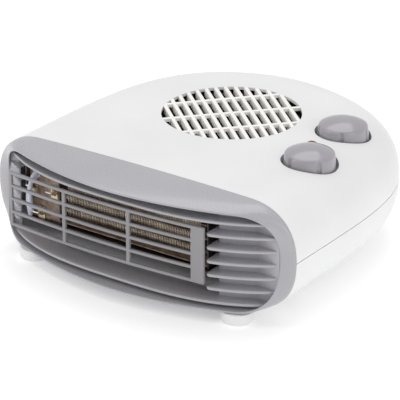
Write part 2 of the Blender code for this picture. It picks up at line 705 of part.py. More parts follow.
def knob(name, centre, phase):
    """A domed cap with a blind bore and five grip flutes in its leaning wall."""
    crease_z = KNOB_TOP - KNOB_DOME
    dome = [(0, KNOB_TOP)]
    for share in (0.35, 0.6, 0.8, 0.93):
        dome.append((KNOB_CREASE * share, KNOB_TOP - KNOB_DOME * share ** 2.1))
    side = [(KNOB_CREASE, crease_z - 0.0006), (KNOB_CREASE + 0.0004, crease_z - 0.0018),
            (KNOB_RADIUS, KNOB_FOOT + 0.001), (KNOB_RADIUS, KNOB_FOOT)]
    top_of_bore = CONTROL_TOP - CONTROL_DEPTH * 0.6 + SPINDLE_LENGTH + GAP
    bore = [(SPINDLE_RADIUS + GAP, KNOB_FOOT), (SPINDLE_RADIUS + GAP, top_of_bore),
            (0, top_of_bore)]
    made = turned(name, (*centre, 0), dome + side + bore, None, 30)
    for number in range(KNOB_FLUTES):
        way = math.radians(phase) + math.tau * number / KNOB_FLUTES
        x = centre[0] + (KNOB_RADIUS + 0.0006) * math.cos(way)
        y = centre[1] + (KNOB_RADIUS + 0.0006) * math.sin(way)
        flute = rod("flute", (x, y, KNOB_FOOT), 0.0014, 2 * (crease_z - 0.002 - KNOB_FOOT),
                    sides=8)
        made = combine(made, flute, "DIFFERENCE")
    made = new_part(made, name, KNOB_GREY)
    return on_axis(made, *centre)


def on_axis(part, x, y):
    """The same part with its origin on the upright axis that it turns about."""
    part.data.transform(Matrix.Translation((-x, -y, 0)) @ part.matrix_world)
    part.matrix_world = Matrix.Translation((x, y, 0))
    return part


KNOB_PHASES = {"function": 252.6, "thermostat": 298.0}  # degrees from +X to a flute
for control, centre in KNOBS.items():
    knob(control + "_knob", centre, KNOB_PHASES[control])
    foot = CONTROL_TOP - CONTROL_DEPTH * 0.6
    on_axis(rod(control + "_spindle", (*centre, foot + SPINDLE_LENGTH / 2), SPINDLE_RADIUS,
                SPINDLE_LENGTH, finish=STEEL), *centre)

CONTROL_SIZES = {"rotary_switch": ("function", 0.026, 0.024, BAKELITE),
                 "thermostat_body": ("thermostat", 0.020, 0.030, CERAMIC)}
for name, (control, width, length, finish) in CONTROL_SIZES.items():
    x, y = KNOBS[control]
    body = box(name, (x - width / 2, y - length / 2, CONTROL_TOP - CONTROL_DEPTH),
               (x + width / 2, y + length / 2, CONTROL_TOP), finish, bevel=0.001)
    bore = rod("bore", (x, y, CONTROL_TOP - CONTROL_DEPTH * 0.6 - GAP + 0.02),
               SPINDLE_RADIUS + SPINDLE_CLEARANCE, 0.04)
    combine(body, bore, "DIFFERENCE")

bimetal_z = CONTROL_TOP - CONTROL_DEPTH - GAP
box("thermostat_bimetal", (THERMOSTAT_X - 0.004, THERMOSTAT_Y - 0.026, bimetal_z - 0.0006),
    (THERMOSTAT_X + 0.004, THERMOSTAT_Y + 0.013, bimetal_z), BRASS)

LENS_FLAT = TOP_Z + TOP_ARCH * (1 - ((LENS_X - SPINE_X) / CONTROL_HALF) ** 2)
turned("indicator_lens", (LENS_X, LENS_Y, LENS_FLAT),
       [(0, 0.0012), (LENS_RADIUS * 0.5, 0.0010), (LENS_RADIUS * 0.85, 0.0004),
        (LENS_RADIUS, -0.0004), (LENS_RADIUS, -0.0045), (0, -0.0045)], AMBER, 24)
turned("neon_lamp", (LENS_X, LENS_Y, LENS_FLAT - 0.0045 - GAP),
       [(0, 0), (0.0014, -0.0005), (0.0020, -0.0018), (0.0020, -0.0125), (0, -0.0125)], GLASS, 16)


# ---- motor and fan --------------------------------------------------------------------------

STACK_TOP = STACK_LOW + STACK_HEIGHT
STACK_HALF = 0.030
LEG_NEAR, LEG_FAR = 0.022, 0.030    # the leg that the coil is wound on, behind the shaft
COIL_HALF = 0.0155
COIL_PLY = 0.0045
BRACKET = 0.0016
BEARING_RADIUS = 0.0045
CHAMBER_FLOOR = STACK_TOP + 0.0065
FAN_LOW = CHAMBER_FLOOR + 0.0022
FAN_TOP = FAN_LOW + FAN_HEIGHT


def motor_stack():
    x, y = INTAKE_X, INTAKE_Y
    low, high = (x - STACK_HALF, y - 0.022), (x + STACK_HALF, y + LEG_FAR)
    outline = [low, (high[0], low[1]), high, (low[0], high[1])]
    bore = [(x + (ROTOR_RADIUS + ROTOR_CLEARANCE) * math.cos(a),
             y + (ROTOR_RADIUS + ROTOR_CLEARANCE) * math.sin(a))
            for a in np.arange(32) * math.tau / 32]
    side = COIL_HALF + 0.002
    window = [(x - side, y + LEG_NEAR - COIL_PLY - 2 * GAP), (x + side, y + LEG_NEAR - COIL_PLY
              - 2 * GAP), (x + side, y + LEG_NEAR), (x - side, y + LEG_NEAR)]
    plate("motor_stack", outline, STACK_LOW, STACK_TOP, LAMINATION, holes=(bore, window))
    reel = box("motor_coil", (x - COIL_HALF, y + LEG_NEAR - COIL_PLY, STACK_LOW - COIL_PLY),
               (x + COIL_HALF, y + LEG_FAR + COIL_PLY, STACK_TOP + COIL_PLY), COPPER, bevel=0.0012)
    leg = box("leg", (x - 0.03, y + LEG_NEAR - GAP, STACK_LOW - GAP),
              (x + 0.03, y + LEG_FAR + GAP, STACK_TOP + GAP))
    combine(reel, leg, "DIFFERENCE")


def bracket(name, low):
    """A bridge across the stack that holds one bearing."""
    made = box(name, (INTAKE_X - 0.037, INTAKE_Y - 0.019, low),
               (INTAKE_X + 0.037, INTAKE_Y + 0.0165, low + BRACKET - GAP), STEEL)
    hole = rod("hole", (INTAKE_X, INTAKE_Y, low), BEARING_RADIUS + GAP, 0.01)
    combine(made, hole, "DIFFERENCE")


def bearing(name, seat, flange_side):
    """A sintered bush pushed through a bracket, its flange on the far side from the stack."""
    inner = SHAFT_RADIUS + BEARING_CLEARANCE
    flange = BEARING_RADIUS + 0.0015
    length, lip = 0.0022, 0.0012
    outer = [(inner, length), (BEARING_RADIUS, length), (BEARING_RADIUS, 0), (flange, 0),
             (flange, -lip), (inner, -lip)]
    if flange_side > 0:
        outer = [(r, -z) for r, z in outer[::-1]]
    turned(name, (INTAKE_X, INTAKE_Y, seat), outer, BRONZE, 24)


motor_stack()
bracket("motor_bracket_lower", STACK_LOW - BRACKET)
bracket("motor_bracket_upper", STACK_TOP + GAP)
bearing("bearing_lower", STACK_LOW - BRACKET - GAP, -1)
bearing("bearing_upper", STACK_TOP + GAP + BRACKET, 1)

rotor = rod("motor_rotor", (INTAKE_X, INTAKE_Y, (STACK_LOW + STACK_TOP) / 2), ROTOR_RADIUS,
            STACK_HEIGHT - 0.006, finish=LAMINATION, sides=32)
shaft_hole = rod("hole", (INTAKE_X, INTAKE_Y, STACK_LOW), SHAFT_RADIUS + GAP, 0.1)
on_axis(combine(rotor, shaft_hole, "DIFFERENCE"), INTAKE_X, INTAKE_Y)
shaft_foot = STACK_LOW - 0.0055
shaft_top = FAN_LOW + 0.012
on_axis(rod("motor_shaft", (INTAKE_X, INTAKE_Y, (shaft_foot + shaft_top) / 2), SHAFT_RADIUS,
            shaft_top - shaft_foot, finish=STEEL), INTAKE_X, INTAKE_Y)


def impeller():
    """A drum fan: a floor disc with a hub, blades that lean forward, and a top ring."""
    disc = 0.0014
    made = rod("impeller", (INTAKE_X, INTAKE_Y, FAN_LOW + disc / 2), FAN_RADIUS, disc, sides=36)
    hub = rod("hub", (INTAKE_X, INTAKE_Y, FAN_LOW + 0.0072), 0.0065, 0.0136, tip=0.005)
    made = combine(made, hub, "UNION")
    chord, ply = 0.0105, 0.0010
    shape = bmesh.new()
    for number in range(FAN_BLADES):
        place = (Matrix.Translation((INTAKE_X, INTAKE_Y, (FAN_LOW + FAN_TOP) / 2)) @
                 Matrix.Rotation(math.tau * number / FAN_BLADES, 4, "Z") @
                 Matrix.Translation((FAN_RADIUS - 0.0052, 0, 0)) @
                 Matrix.Rotation(math.radians(32), 4, "Z") @
                 Matrix.Diagonal((chord, ply, FAN_HEIGHT - disc, 1)))
        bmesh.ops.create_cube(shape, size=1.0, matrix=place)
    made = combine(made, from_bmesh("blades", shape), "UNION")
    rim = turned("rim", (INTAKE_X, INTAKE_Y, FAN_TOP),
                 [(FAN_RADIUS - 0.0075, 0), (FAN_RADIUS, 0), (FAN_RADIUS, -disc),
                  (FAN_RADIUS - 0.0075, -disc)], None, 36)
    made = combine(made, rim, "UNION")
    bore = rod("bore", (INTAKE_X, INTAKE_Y, FAN_LOW), SHAFT_RADIUS + GAP, 0.0252)
    made = combine(made, bore, "DIFFERENCE")
    return on_axis(new_part(made, "impeller", BLACK), INTAKE_X, INTAKE_Y)


impeller()


# ---- air path -------------------------------------------------------------------------------

CHAMBER_WALL = 0.0016
CHAMBER_TOP = TOP_Z + TOP_ARCH - WALL - 0.0032
MOUTH_Y = SEAM_Y + 0.020
MOUTH_LEFT, MOUTH_RIGHT = -0.0975, 0.0640
SCROLL_WIDE = (math.hypot(THERMOSTAT_X - INTAKE_X, THERMOSTAT_Y - INTAKE_Y) - WELL_RADIUS - WALL
               - 0.0012)    # passes beside the thermostat knob's well
SCROLL_TIGHT = SCROLL_WIDE - 0.0040
THROAT_Y = INTAKE_Y - FAN_RADIUS - 0.004
DUCT_LOW, DUCT_HIGH = 0.0215, 0.0745
DUCT_LEFT, DUCT_RIGHT = -0.0990, 0.0658
DUCT_BACK = MOUTH_Y - GAP
DUCT_FRONT = SEAM_Y - 0.0008


def chamber_outline(inset):
    """The chamber's plan: a spiral round the fan that opens out into the mouth in front."""
    points = [(MOUTH_RIGHT - inset, MOUTH_Y)]
    for step in range(25):
        turn = math.pi * step / 24
        radius = SCROLL_WIDE + (SCROLL_TIGHT - SCROLL_WIDE) * step / 24 - inset
        points.append((INTAKE_X + radius * math.cos(turn), INTAKE_Y + radius * math.sin(turn)))
    return points + [(MOUTH_LEFT + inset, MOUTH_Y)]


def fan_chamber():
    band = chamber_outline(0) + chamber_outline(CHAMBER_WALL)[::-1]
    made = plate("fan_chamber", band, CHAMBER_FLOOR, CHAMBER_TOP)
    floor = plate("floor", chamber_outline(CHAMBER_WALL / 2), CHAMBER_FLOOR + 0.0001,
                  CHAMBER_FLOOR + CHAMBER_WALL)
    front = box("front", (-WIDTH, -DEPTH, 0), (WIDTH, THROAT_Y, TOP_Z))
    floor = combine(floor, front, "DIFFERENCE")
    made = combine(made, floor, "UNION")
    hole = rod("hole", (INTAKE_X, INTAKE_Y, CHAMBER_FLOOR), 0.0085, 0.01)
    made = combine(made, hole, "DIFFERENCE")
    return new_part(made, "fan_chamber", BLACK)


fan_chamber()


def wall_x(y, left):
    """The chamber's inner face at this depth, in front of the fan."""
    mouth, shoulder = ((MOUTH_LEFT, INTAKE_X - SCROLL_TIGHT) if left
                       else (MOUTH_RIGHT, INTAKE_X + SCROLL_WIDE))
    share = (y - MOUTH_Y) / (INTAKE_Y - MOUTH_Y)
    return mouth + (shoulder - mouth) * share + (1 if left else -1) * (CHAMBER_WALL + 3 * GAP)


guide_back, guide_front = THROAT_Y - GAP, MOUTH_Y + GAP
guide = surface("air_guide",
                [(wall_x(guide_back, True), guide_back, CHAMBER_FLOOR + 0.0012),
                 (wall_x(guide_back, False), guide_back, CHAMBER_FLOOR + 0.0012),
                 (wall_x(guide_front, False), guide_front, DUCT_LOW + 0.0030),
                 (wall_x(guide_front, True), guide_front, DUCT_LOW + 0.0030)], [(0, 1, 2, 3)])
thick = guide.modifiers.new("sheet", "SOLIDIFY")
thick.thickness = 0.0010
thick.offset = 0
bake(guide, "air_guide", STEEL)

duct = box("element_duct", (DUCT_LEFT, DUCT_FRONT, DUCT_LOW), (DUCT_RIGHT, DUCT_BACK, DUCT_HIGH),
           STEEL)
bore = box("bore", (DUCT_LEFT + DUCT_WALL, -DEPTH, DUCT_LOW + DUCT_WALL),
           (DUCT_RIGHT - DUCT_WALL, 0, DUCT_HIGH - DUCT_WALL))
combine(duct, bore, "DIFFERENCE")


# ---- heating element ------------------------------------------------------------------------

ELEMENT_LOW, ELEMENT_HIGH = DUCT_LOW + DUCT_WALL + GAP, 0.0665
BOARD_FRONT = ELEMENT_Y - ELEMENT_DEPTH / 2 + 0.0012
BOARD_BACK = ELEMENT_Y + ELEMENT_DEPTH / 2
STRIP_HALF = COIL_DEPTH / 2 - 0.0015
COIL_WALL = 0.0008

for name, x in (("mica_end_left", ELEMENT_LEFT), ("mica_end_right", ELEMENT_RIGHT)):
    box(name, (x - MICA / 2, BOARD_FRONT, ELEMENT_LOW), (x + MICA / 2, BOARD_BACK,
        ELEMENT_HIGH), MICA_BROWN)
between = (ELEMENT_LEFT + MICA / 2 + GAP, ELEMENT_RIGHT - MICA / 2 - GAP)
for name, z in (("mica_top", TOP_COIL_Z + COIL_PITCH), ("mica_bottom", COIL_ZS[-1] - 0.0085)):
    box(name, (between[0], BOARD_FRONT, z - MICA / 2), (between[1], BOARD_BACK, z + MICA / 2),
        MICA_BROWN)


def winding(name, z):
    """One row of the winding: a flattened sleeve, open at its ends, around its mica strip."""
    ends = (between[0] + 0.0045, between[1] - 0.0045)
    made = box(name, (ends[0], ELEMENT_Y - COIL_DEPTH / 2, z - COIL_HEIGHT / 2),
               (ends[1], ELEMENT_Y + COIL_DEPTH / 2, z + COIL_HEIGHT / 2), WIRE)
    shape = bmesh.new()
    shape.from_mesh(made.data)
    long_edges = [e for e in shape.edges if abs(e.verts[0].co.x - e.verts[1].co.x) > 0.01]
    bmesh.ops.bevel(shape, geom=long_edges, offset=0.0030, segments=3, affect="EDGES",
                    profile=0.5)
    shape.to_mesh(made.data)
    shape.free()
    hollow = box("hollow", (-WIDTH, ELEMENT_Y - COIL_DEPTH / 2 + COIL_WALL, z - 0.0016),
                 (WIDTH, ELEMENT_Y + COIL_DEPTH / 2 - COIL_WALL, z + 0.0016))
    combine(made, hollow, "DIFFERENCE")


for number, z in enumerate(COIL_ZS, 1):
    box(f"mica_strip_{number}", (between[0], ELEMENT_Y - STRIP_HALF, z - 0.0003),
        (between[1], ELEMENT_Y + STRIP_HALF, z + 0.0003), MICA_BROWN)
    winding(f"heating_coil_{number}", z)

BOARD_LEFT, BOARD_RIGHT = DUCT_LEFT + DUCT_WALL + GAP, ELEMENT_LEFT - MICA / 2 - GAP
BOARD_Y = BOARD_FRONT + 0.0012
box("terminal_board", (BOARD_LEFT, BOARD_Y, ELEMENT_LOW), (BOARD_RIGHT, BOARD_Y + MICA,
    ELEMENT_HIGH), MICA_BROWN)
TERMINALS = [(-0.0935, 0.0455), (-0.0765, 0.0445), (-0.0880, 0.0270)]
for number, (x, z) in enumerate(TERMINALS, 1):
    face = BOARD_Y - GAP
    tab = box(f"terminal_{number}", (x - 0.0028, face - 0.0008, z - 0.0045),
              (x + 0.0028, face, z + 0.0045), BRASS)
    rivet = rod("rivet", (x, face - 0.0008, z), 0.0019, 0.0014, "Y", sides=16)
    combine(tab, rivet, "UNION")
behind = BOARD_Y + MICA + GAP
rod("thermal_cutout", (-0.0870, behind + 0.0030, 0.0540), 0.0062, 0.0060, "Y", CERAMIC, 24)
rod("thermal_fuse", (-0.0775, behind + 0.0022, 0.0420), 0.0021, 0.0150, "Z", CERAMIC, 16)


# ---- mains connections and screws ---------------------------------------------------------------

BLOCK_Y = BACK_Y - RIM - 0.014
block = box("terminal_block", (INLET_X - 0.012, BLOCK_Y - 0.006, FLOOR_Z + GAP),
            (INLET_X + 0.012, BLOCK_Y + 0.006, FLOOR_Z + 0.012), CERAMIC, bevel=0.0008)
for way in (-0.0075, 0.0, 0.0075):
    hole = rod("hole", (INLET_X + way, BLOCK_Y, FLOOR_Z + 0.006), 0.0019, 0.03, "Y", sides=12)
    block = combine(block, hole, "DIFFERENCE")

SCREW_NAMES = ("screw_front_right", "screw_front_left", "screw_rear_right", "screw_rear_left")
SEAT_Z = 0.026              # top of the head's pocket in the base's posts
for name, (x, y) in zip(SCREW_NAMES, SCREWS):
    turned(name, (x, y, SEAT_Z - GAP), [(0, 0.0305), (SCREW_RADIUS * 0.7, 0.0295),
                                        (SCREW_RADIUS, 0.0275), (SCREW_RADIUS, 0),
                                        (0.0031, 0), (0.0031, -0.0018), (0.0022, -0.0026),
                                        (0, -0.0026)], STEEL, 16)
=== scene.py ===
import math

import bmesh
import bpy
import numpy as np
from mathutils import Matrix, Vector


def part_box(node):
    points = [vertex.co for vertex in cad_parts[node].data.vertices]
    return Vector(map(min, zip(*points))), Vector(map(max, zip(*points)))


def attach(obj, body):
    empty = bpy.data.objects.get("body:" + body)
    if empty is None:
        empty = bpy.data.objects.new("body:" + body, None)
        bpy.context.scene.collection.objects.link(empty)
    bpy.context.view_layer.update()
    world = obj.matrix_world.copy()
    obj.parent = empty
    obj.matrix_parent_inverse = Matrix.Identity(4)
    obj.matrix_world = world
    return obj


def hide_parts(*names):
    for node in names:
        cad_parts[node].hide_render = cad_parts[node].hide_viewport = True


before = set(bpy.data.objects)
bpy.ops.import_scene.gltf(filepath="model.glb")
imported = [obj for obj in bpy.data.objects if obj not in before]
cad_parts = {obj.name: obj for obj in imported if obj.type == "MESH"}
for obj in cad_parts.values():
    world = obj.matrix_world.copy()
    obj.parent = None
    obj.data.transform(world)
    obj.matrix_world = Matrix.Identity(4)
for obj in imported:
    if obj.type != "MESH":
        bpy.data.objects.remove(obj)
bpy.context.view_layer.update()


# ---- base housing -----------------------------------------------------------------------------
# The lower half of the casing: a white ABS moulding with a rounded rim, screwed to the top from
# below. Four posts inside take the screws and the back wall has the hole for the cord's bush.

CONTROL_HALF, PLAIN_HALF = 0.1282, 0.1168       # half widths on each side of the spine
SPINE_X = (PLAIN_HALF - CONTROL_HALF) / 2
WIDTH = CONTROL_HALF + PLAIN_HALF
HOUSING_DEPTH = 0.216
SEAM_Y = -0.089                                 # where the grey front meets the casing
PARTING_Z, LOWER_HEIGHT, UPPER_HEIGHT = 0.0462, 0.0382, 0.036
TOP_Z = PARTING_Z + UPPER_HEIGHT
TOP_ARCH = 0.0022
RIM, RIM_POWER = 0.037, 2.33
SIDE_POWER, BACK_POWER = 1.8, 4.45
WALL, GAP = 0.0022, 0.0003
PLAN_STEPS, RIM_STEPS = 180, 22


def signed_power(value, power):
    """A power that keeps the value's sign."""
    return np.sign(value) * np.abs(value) ** power


def even_steps(points, count, closed=False):
    """The same path with its points at equal distances along it."""
    path = np.vstack([points, points[:1]]) if closed else points
    along = np.concatenate([[0], np.cumsum(np.linalg.norm(np.diff(path, axis=0), axis=1))])
    steps = np.linspace(0, along[-1], count + 1 if closed else count)
    even = np.stack([np.interp(steps, along, path[:, k]) for k in range(path.shape[1])], axis=1)
    return even[:-1] if closed else even


def quads(rows, columns, close_rows=False, close_columns=False):
    """Corner numbers of the faces between neighbours in a grid stored row by row."""
    i = np.arange(rows if close_rows else rows - 1)[:, None]
    j = np.arange(columns if close_columns else columns - 1)[None, :]
    below, beside = (i + 1) % rows, (j + 1) % columns
    corners = [i * columns + j, i * columns + beside, below * columns + beside,
               below * columns + j]
    return np.stack(np.broadcast_arrays(*corners), axis=-1).reshape(-1, 4)


def mesh_of(name, sheets):
    """One mesh from sheets of (points by row and column, rows closed, columns closed, capped).

    Doubled points are merged, and the faces of each closed body turned outwards.
    """
    points, faces = [], []
    for sheet, close_rows, close_columns, capped in sheets:
        rows, columns, _ = sheet.shape
        start = sum(len(p) for p in points)
        points.append(sheet.reshape(-1, 3))
        faces += (quads(rows, columns, close_rows, close_columns) + start).tolist()
        if capped:
            faces.append((np.arange(columns) + start).tolist())
            faces.append((np.arange(columns) + start + (rows - 1) * columns).tolist())
    mesh = bpy.data.meshes.new(name)
    mesh.from_pydata(np.vstack(points).tolist(), [], faces)
    shape = bmesh.new()
    shape.from_mesh(mesh)
    bmesh.ops.remove_doubles(shape, verts=shape.verts, dist=0.000002)
    bmesh.ops.dissolve_degenerate(shape, edges=shape.edges, dist=0.0000005)
    bmesh.ops.recalc_face_normals(shape, faces=shape.faces)
    shape.to_mesh(mesh)
    shape.free()
    return mesh


def piece(name, mesh, finish, body="casing", replaced=(), sharp=38):
    """A mesh as a finished piece that rides on a body and stands for these CAD nodes."""
    mesh.materials.clear()
    mesh.materials.append(finish)
    mesh.shade_smooth()
    mesh.set_sharp_from_angle(angle=math.radians(sharp))
    made = bpy.data.objects.new(name, mesh)
    bpy.context.collection.objects.link(made)
    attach(made, body)
    if replaced:
        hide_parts(*replaced)
    return made


def carve(mesh, tools, operation="DIFFERENCE"):
    """The mesh after one cut, join or clip with another mesh."""
    pair = [bpy.data.objects.new("carving", m) for m in (mesh, tools)]
    for each in pair:
        bpy.context.collection.objects.link(each)
    step = pair[0].modifiers.new("carve", "BOOLEAN")
    step.operation, step.object = operation, pair[1]
    graph = bpy.context.evaluated_depsgraph_get()
    result = bpy.data.meshes.new_from_object(pair[0].evaluated_get(graph))
    for each in pair:
        bpy.data.objects.remove(each)
    return result


def turned(centre, profile, steps=48, axis="Z"):
    """A closed turned body: the (radius, height) profile carried round an axis through centre."""
    angle = np.arange(steps) * math.tau / steps
    radius, height = np.array(profile, float).T
    ring = np.stack([np.outer(radius, np.cos(angle)), np.outer(radius, np.sin(angle)),
                     np.outer(height, np.ones(steps))], axis=-1)
    if axis == "Y":
        ring = ring[..., [0, 2, 1]]
    return ring + np.array(centre), profile[0][0] > 0, True, False


def rod(centre, radius, low, high, steps=48, axis="Z"):
    """A plain cylinder between two heights along its axis."""
    return turned(centre, [(0, low), (radius, low), (radius, high), (0, high)], steps, axis)


def plan_outline():
    """The parting line in plan, side to side round the back, and its inward normals.

    x is the half width times the cosine to 2/side power, and y the depth times the sine to
    2/back power, so the sides run out smoothly into a nearly flat back.
    """
    angle = np.linspace(0, math.pi, 6001)
    across = signed_power(np.cos(angle), 2 / SIDE_POWER)
    half = np.where(across > 0, CONTROL_HALF, PLAIN_HALF)
    back = np.abs(np.sin(angle)) ** (2 / BACK_POWER)
    line = even_steps(np.stack([SPINE_X + half * across, SEAM_Y + HOUSING_DEPTH * back], axis=1),
                      PLAN_STEPS + 1)
    run = np.gradient(line, axis=0)
    inward = np.stack([-run[:, 1], run[:, 0]], axis=1)
    inward /= np.linalg.norm(inward, axis=1)[:, None]
    inward[0], inward[-1] = (-1, 0), (1, 0)
    return line, inward


def arch(x, share):
    """Extra height of the top at x: a parabola over the width, times the share of the rise."""
    half = np.where(x > SPINE_X, CONTROL_HALF, PLAIN_HALF)
    return TOP_ARCH * (1 - ((x - SPINE_X) / half) ** 2) * share


def casing_half(upward, trim=0.0, skin=0.0):
    """Points of half the casing from the parting line over the rim to the spine.

    The rim's section is a superellipse: the inset is 1 - cos and the rise is sin, each to
    2/rim power. A skin moves the whole surface inwards.
    """
    line, inward = plan_outline()
    line = line + inward * skin
    turn = np.linspace(0, math.pi / 2, RIM_STEPS + 1)
    inset = RIM * (1 - np.cos(turn) ** (2 / RIM_POWER))
    share = np.sin(turn) ** (2 / RIM_POWER)
    share[-1] = 1
    rings = line[None] + inward[None] * inset[:, None, None]
    edge = rings[-1]
    reach = 1 - np.abs(np.linspace(-1, 1, PLAN_STEPS + 1))
    spine = np.stack([np.full_like(reach, SPINE_X),
                      SEAM_Y + (edge[:, 1].max() - SEAM_Y - RIM) * reach], axis=1)
    inner = np.linspace(0, 1, 14)[1:]
    rings = np.concatenate([rings, edge[None] + (spine - edge)[None] * inner[:, None, None]])
    share = np.concatenate([share, np.ones(len(inner))])[:, None]
    rise = UPPER_HEIGHT - skin if upward else skin - LOWER_HEIGHT
    height = np.zeros(rings.shape[:2]) + PARTING_Z + rise * share
    if upward:
        height += arch(rings[..., 0], share)
    height += np.where(share == 0, trim if upward else -trim, 0)
    return np.concatenate([rings, height[..., None]], axis=-1)


def casing_skin(name, upward):
    """The half casing with its moulded wall."""
    mesh = mesh_of(name, [(casing_half(upward, trim=GAP), False, False, False)])
    up = sum(f.normal.z * f.area for f in mesh.polygons)
    if (up > 0) != upward:
        mesh.flip_normals()
    shell = bpy.data.objects.new(name, mesh)
    bpy.context.collection.objects.link(shell)
    wall = shell.modifiers.new("wall", "SOLIDIFY")
    wall.thickness, wall.offset, wall.use_even_offset = WALL, -1, True
    graph = bpy.context.evaluated_depsgraph_get()
    made = bpy.data.meshes.new_from_object(shell.evaluated_get(graph))
    bpy.data.objects.remove(shell)
    return made


def casing_plug(upward):
    """The half casing as a solid, half a wall smaller, to clip what stays under the skin."""
    points = casing_half(upward, skin=WALL / 2)
    rows, columns, _ = points.shape
    mesh = bpy.data.meshes.new("plug")
    faces = quads(rows, columns).tolist() + [list(range(columns))]
    first = [r * columns for r in range(rows)]
    last = [r * columns + columns - 1 for r in range(rows - 1, -1, -1)]
    mesh.from_pydata(points.reshape(-1, 3).tolist(), [], faces + [first + last[1:]])
    shape = bmesh.new()
    shape.from_mesh(mesh)
    bmesh.ops.remove_doubles(shape, verts=shape.verts, dist=0.00001)
    bmesh.ops.recalc_face_normals(shape, faces=shape.faces)
    shape.to_mesh(mesh)
    shape.free()
    return mesh


def link(tree, pairs):
    """Wires the sockets of each (from node, output, to node, input)."""
    for start, output, end, socket in pairs:
        tree.links.new(start.outputs[output], end.inputs[socket])


def moulded(name, colour, roughness=0.42, grain=1400.0, depth=0.00002, shade=0.03,
            specular=0.45, coat=0.0):
    """Moulded plastic: an even colour that drifts a little, and a fine spark-eroded grain."""
    made = bpy.data.materials.new(name)
    made.use_nodes = True
    tree = made.node_tree
    shader = tree.nodes["Principled BSDF"]
    shader.inputs["Specular IOR Level"].default_value = specular
    shader.inputs["Coat Weight"].default_value = coat
    place = tree.nodes.new("ShaderNodeTexCoord")
    drift = tree.nodes.new("ShaderNodeTexNoise")
    drift.inputs["Scale"].default_value = 14.0
    drift.inputs["Detail"].default_value = 3.0
    tone = tree.nodes.new("ShaderNodeValToRGB")
    tone.color_ramp.elements[0].position = 0.3
    tone.color_ramp.elements[1].position = 0.7
    tone.color_ramp.elements[0].color = (*[c * (1 - shade) for c in colour], 1)
    tone.color_ramp.elements[1].color = (*[min(1, c * (1 + shade)) for c in colour], 1)
    fine = tree.nodes.new("ShaderNodeTexNoise")
    fine.inputs["Scale"].default_value = grain
    fine.inputs["Detail"].default_value = 2.0
    bump = tree.nodes.new("ShaderNodeBump")
    bump.inputs["Strength"].default_value = 0.6
    bump.inputs["Distance"].default_value = depth
    gloss = tree.nodes.new("ShaderNodeMapRange")
    gloss.inputs["To Min"].default_value = roughness - 0.06
    gloss.inputs["To Max"].default_value = roughness + 0.06
    link(tree, [(place, "Object", drift, "Vector"), (place, "Object", fine, "Vector"),
                (drift, "Fac", tone, "Fac"), (tone, "Color", shader, "Base Color"),
                (fine, "Fac", bump, "Height"), (bump, "Normal", shader, "Normal"),
                (fine, "Fac", gloss, "Value"), (gloss, "Result", shader, "Roughness")])
    return made


white_abs = moulded("white_abs", (0.78, 0.78, 0.785), roughness=0.40)

SCREWS = [(0.100, -0.062), (-0.108, -0.060), (0.056, 0.088), (-0.070, 0.084)]
POST_RADIUS, HEAD_RADIUS, HEAD_TOP, PILOT_RADIUS, PILOT_TOP = 0.0042, 0.0034, 0.026, 0.0020, 0.0577
REAR_FEET = [(0.060, 0.070), (-0.060, 0.070)]
PEG_HOLE_RADIUS, PEG_HOLE_TOP = 0.0033, 0.014
BUSH_X, BUSH_Z, BUSH_RADIUS = -0.030, 0.030, 0.0072
bush_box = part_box("cord_bush")
back_wall = bush_box[1].y - 0.005

base = casing_skin("base_housing_shell", False)
posts = mesh_of("posts", [rod((x, y, 0), POST_RADIUS, 0.004, PARTING_Z - GAP, 24)
                         for x, y in SCREWS])
base = carve(base, carve(posts, casing_plug(False), "INTERSECT"), "UNION")
pockets = [rod((x, y, 0), HEAD_RADIUS, 0.0, HEAD_TOP, 24) for x, y in SCREWS]
pockets += [rod((x, y, 0), PEG_HOLE_RADIUS, 0.002, PEG_HOLE_TOP, 24) for x, y in REAR_FEET]
pockets.append(rod((BUSH_X, back_wall, BUSH_Z), BUSH_RADIUS + GAP, -0.02, 0.02, 48, "Y"))
base = carve(base, mesh_of("pockets", pockets))
piece("base_shell", base, white_abs, replaced=["base_housing"])


# ---- feet and cord bush -----------------------------------------------------------------------
# Four round feet of white thermoplastic rubber pushed into the underside on their pegs, and a
# black nylon bush round the hole that the cord passes.

soft_foot = moulded("soft_foot", (0.82, 0.82, 0.82), roughness=0.65, grain=700, depth=0.00004)
black_plastic = moulded("black_plastic", (0.018, 0.018, 0.020), roughness=0.45, shade=0.1)
PAD_TOP, PEG_RADIUS, FRONT_PEG_TOP, REAR_PEG_TOP = 0.0077, 0.003, 0.0092, 0.0115
for name in ("foot_front_right", "foot_front_left", "foot_rear_right", "foot_rear_left"):
    low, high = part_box(name)
    middle = ((low.x + high.x) / 2, (low.y + high.y) / 2, 0)
    radius = (high.x - low.x) / 2
    peg = FRONT_PEG_TOP if "front" in name else REAR_PEG_TOP
    profile = [(0, 0), (radius - 0.0012, 0), (radius - 0.0004, 0.0003), (radius, 0.0012),
               (radius, 0.0066), (radius - 0.0003, 0.0074), (radius - 0.001, PAD_TOP),
               (PEG_RADIUS, PAD_TOP), (PEG_RADIUS, peg - 0.0005), (0, peg)]
    piece(name + "_pad", mesh_of(name, [turned(middle, profile, 64)]), soft_foot,
          replaced=[name])

bush_face = bush_box[1].y
outer = BUSH_RADIUS - 0.001
bore = 0.0042
profile = [(bore, bush_box[0].y), (BUSH_RADIUS, bush_box[0].y),
           (BUSH_RADIUS, bush_face - 0.0016), (outer, bush_face - 0.0014),
           (outer, bush_face - 0.0006), (outer - 0.0006, bush_face),
           (bore + 0.0008, bush_face), (bore, bush_face - 0.0008)]
piece("cord_bush_ring", mesh_of("bush", [turned((BUSH_X, 0, BUSH_Z), profile, 64, "Y")]),
      black_plastic, replaced=["cord_bush"])


# ---- motor, fan and switch gear ---------------------------------------------------------------
# What sits inside the casing: a shaded-pole motor on steel brackets, a black drum fan above it in
# its chamber, the rotary switch, the thermostat and the terminal block.


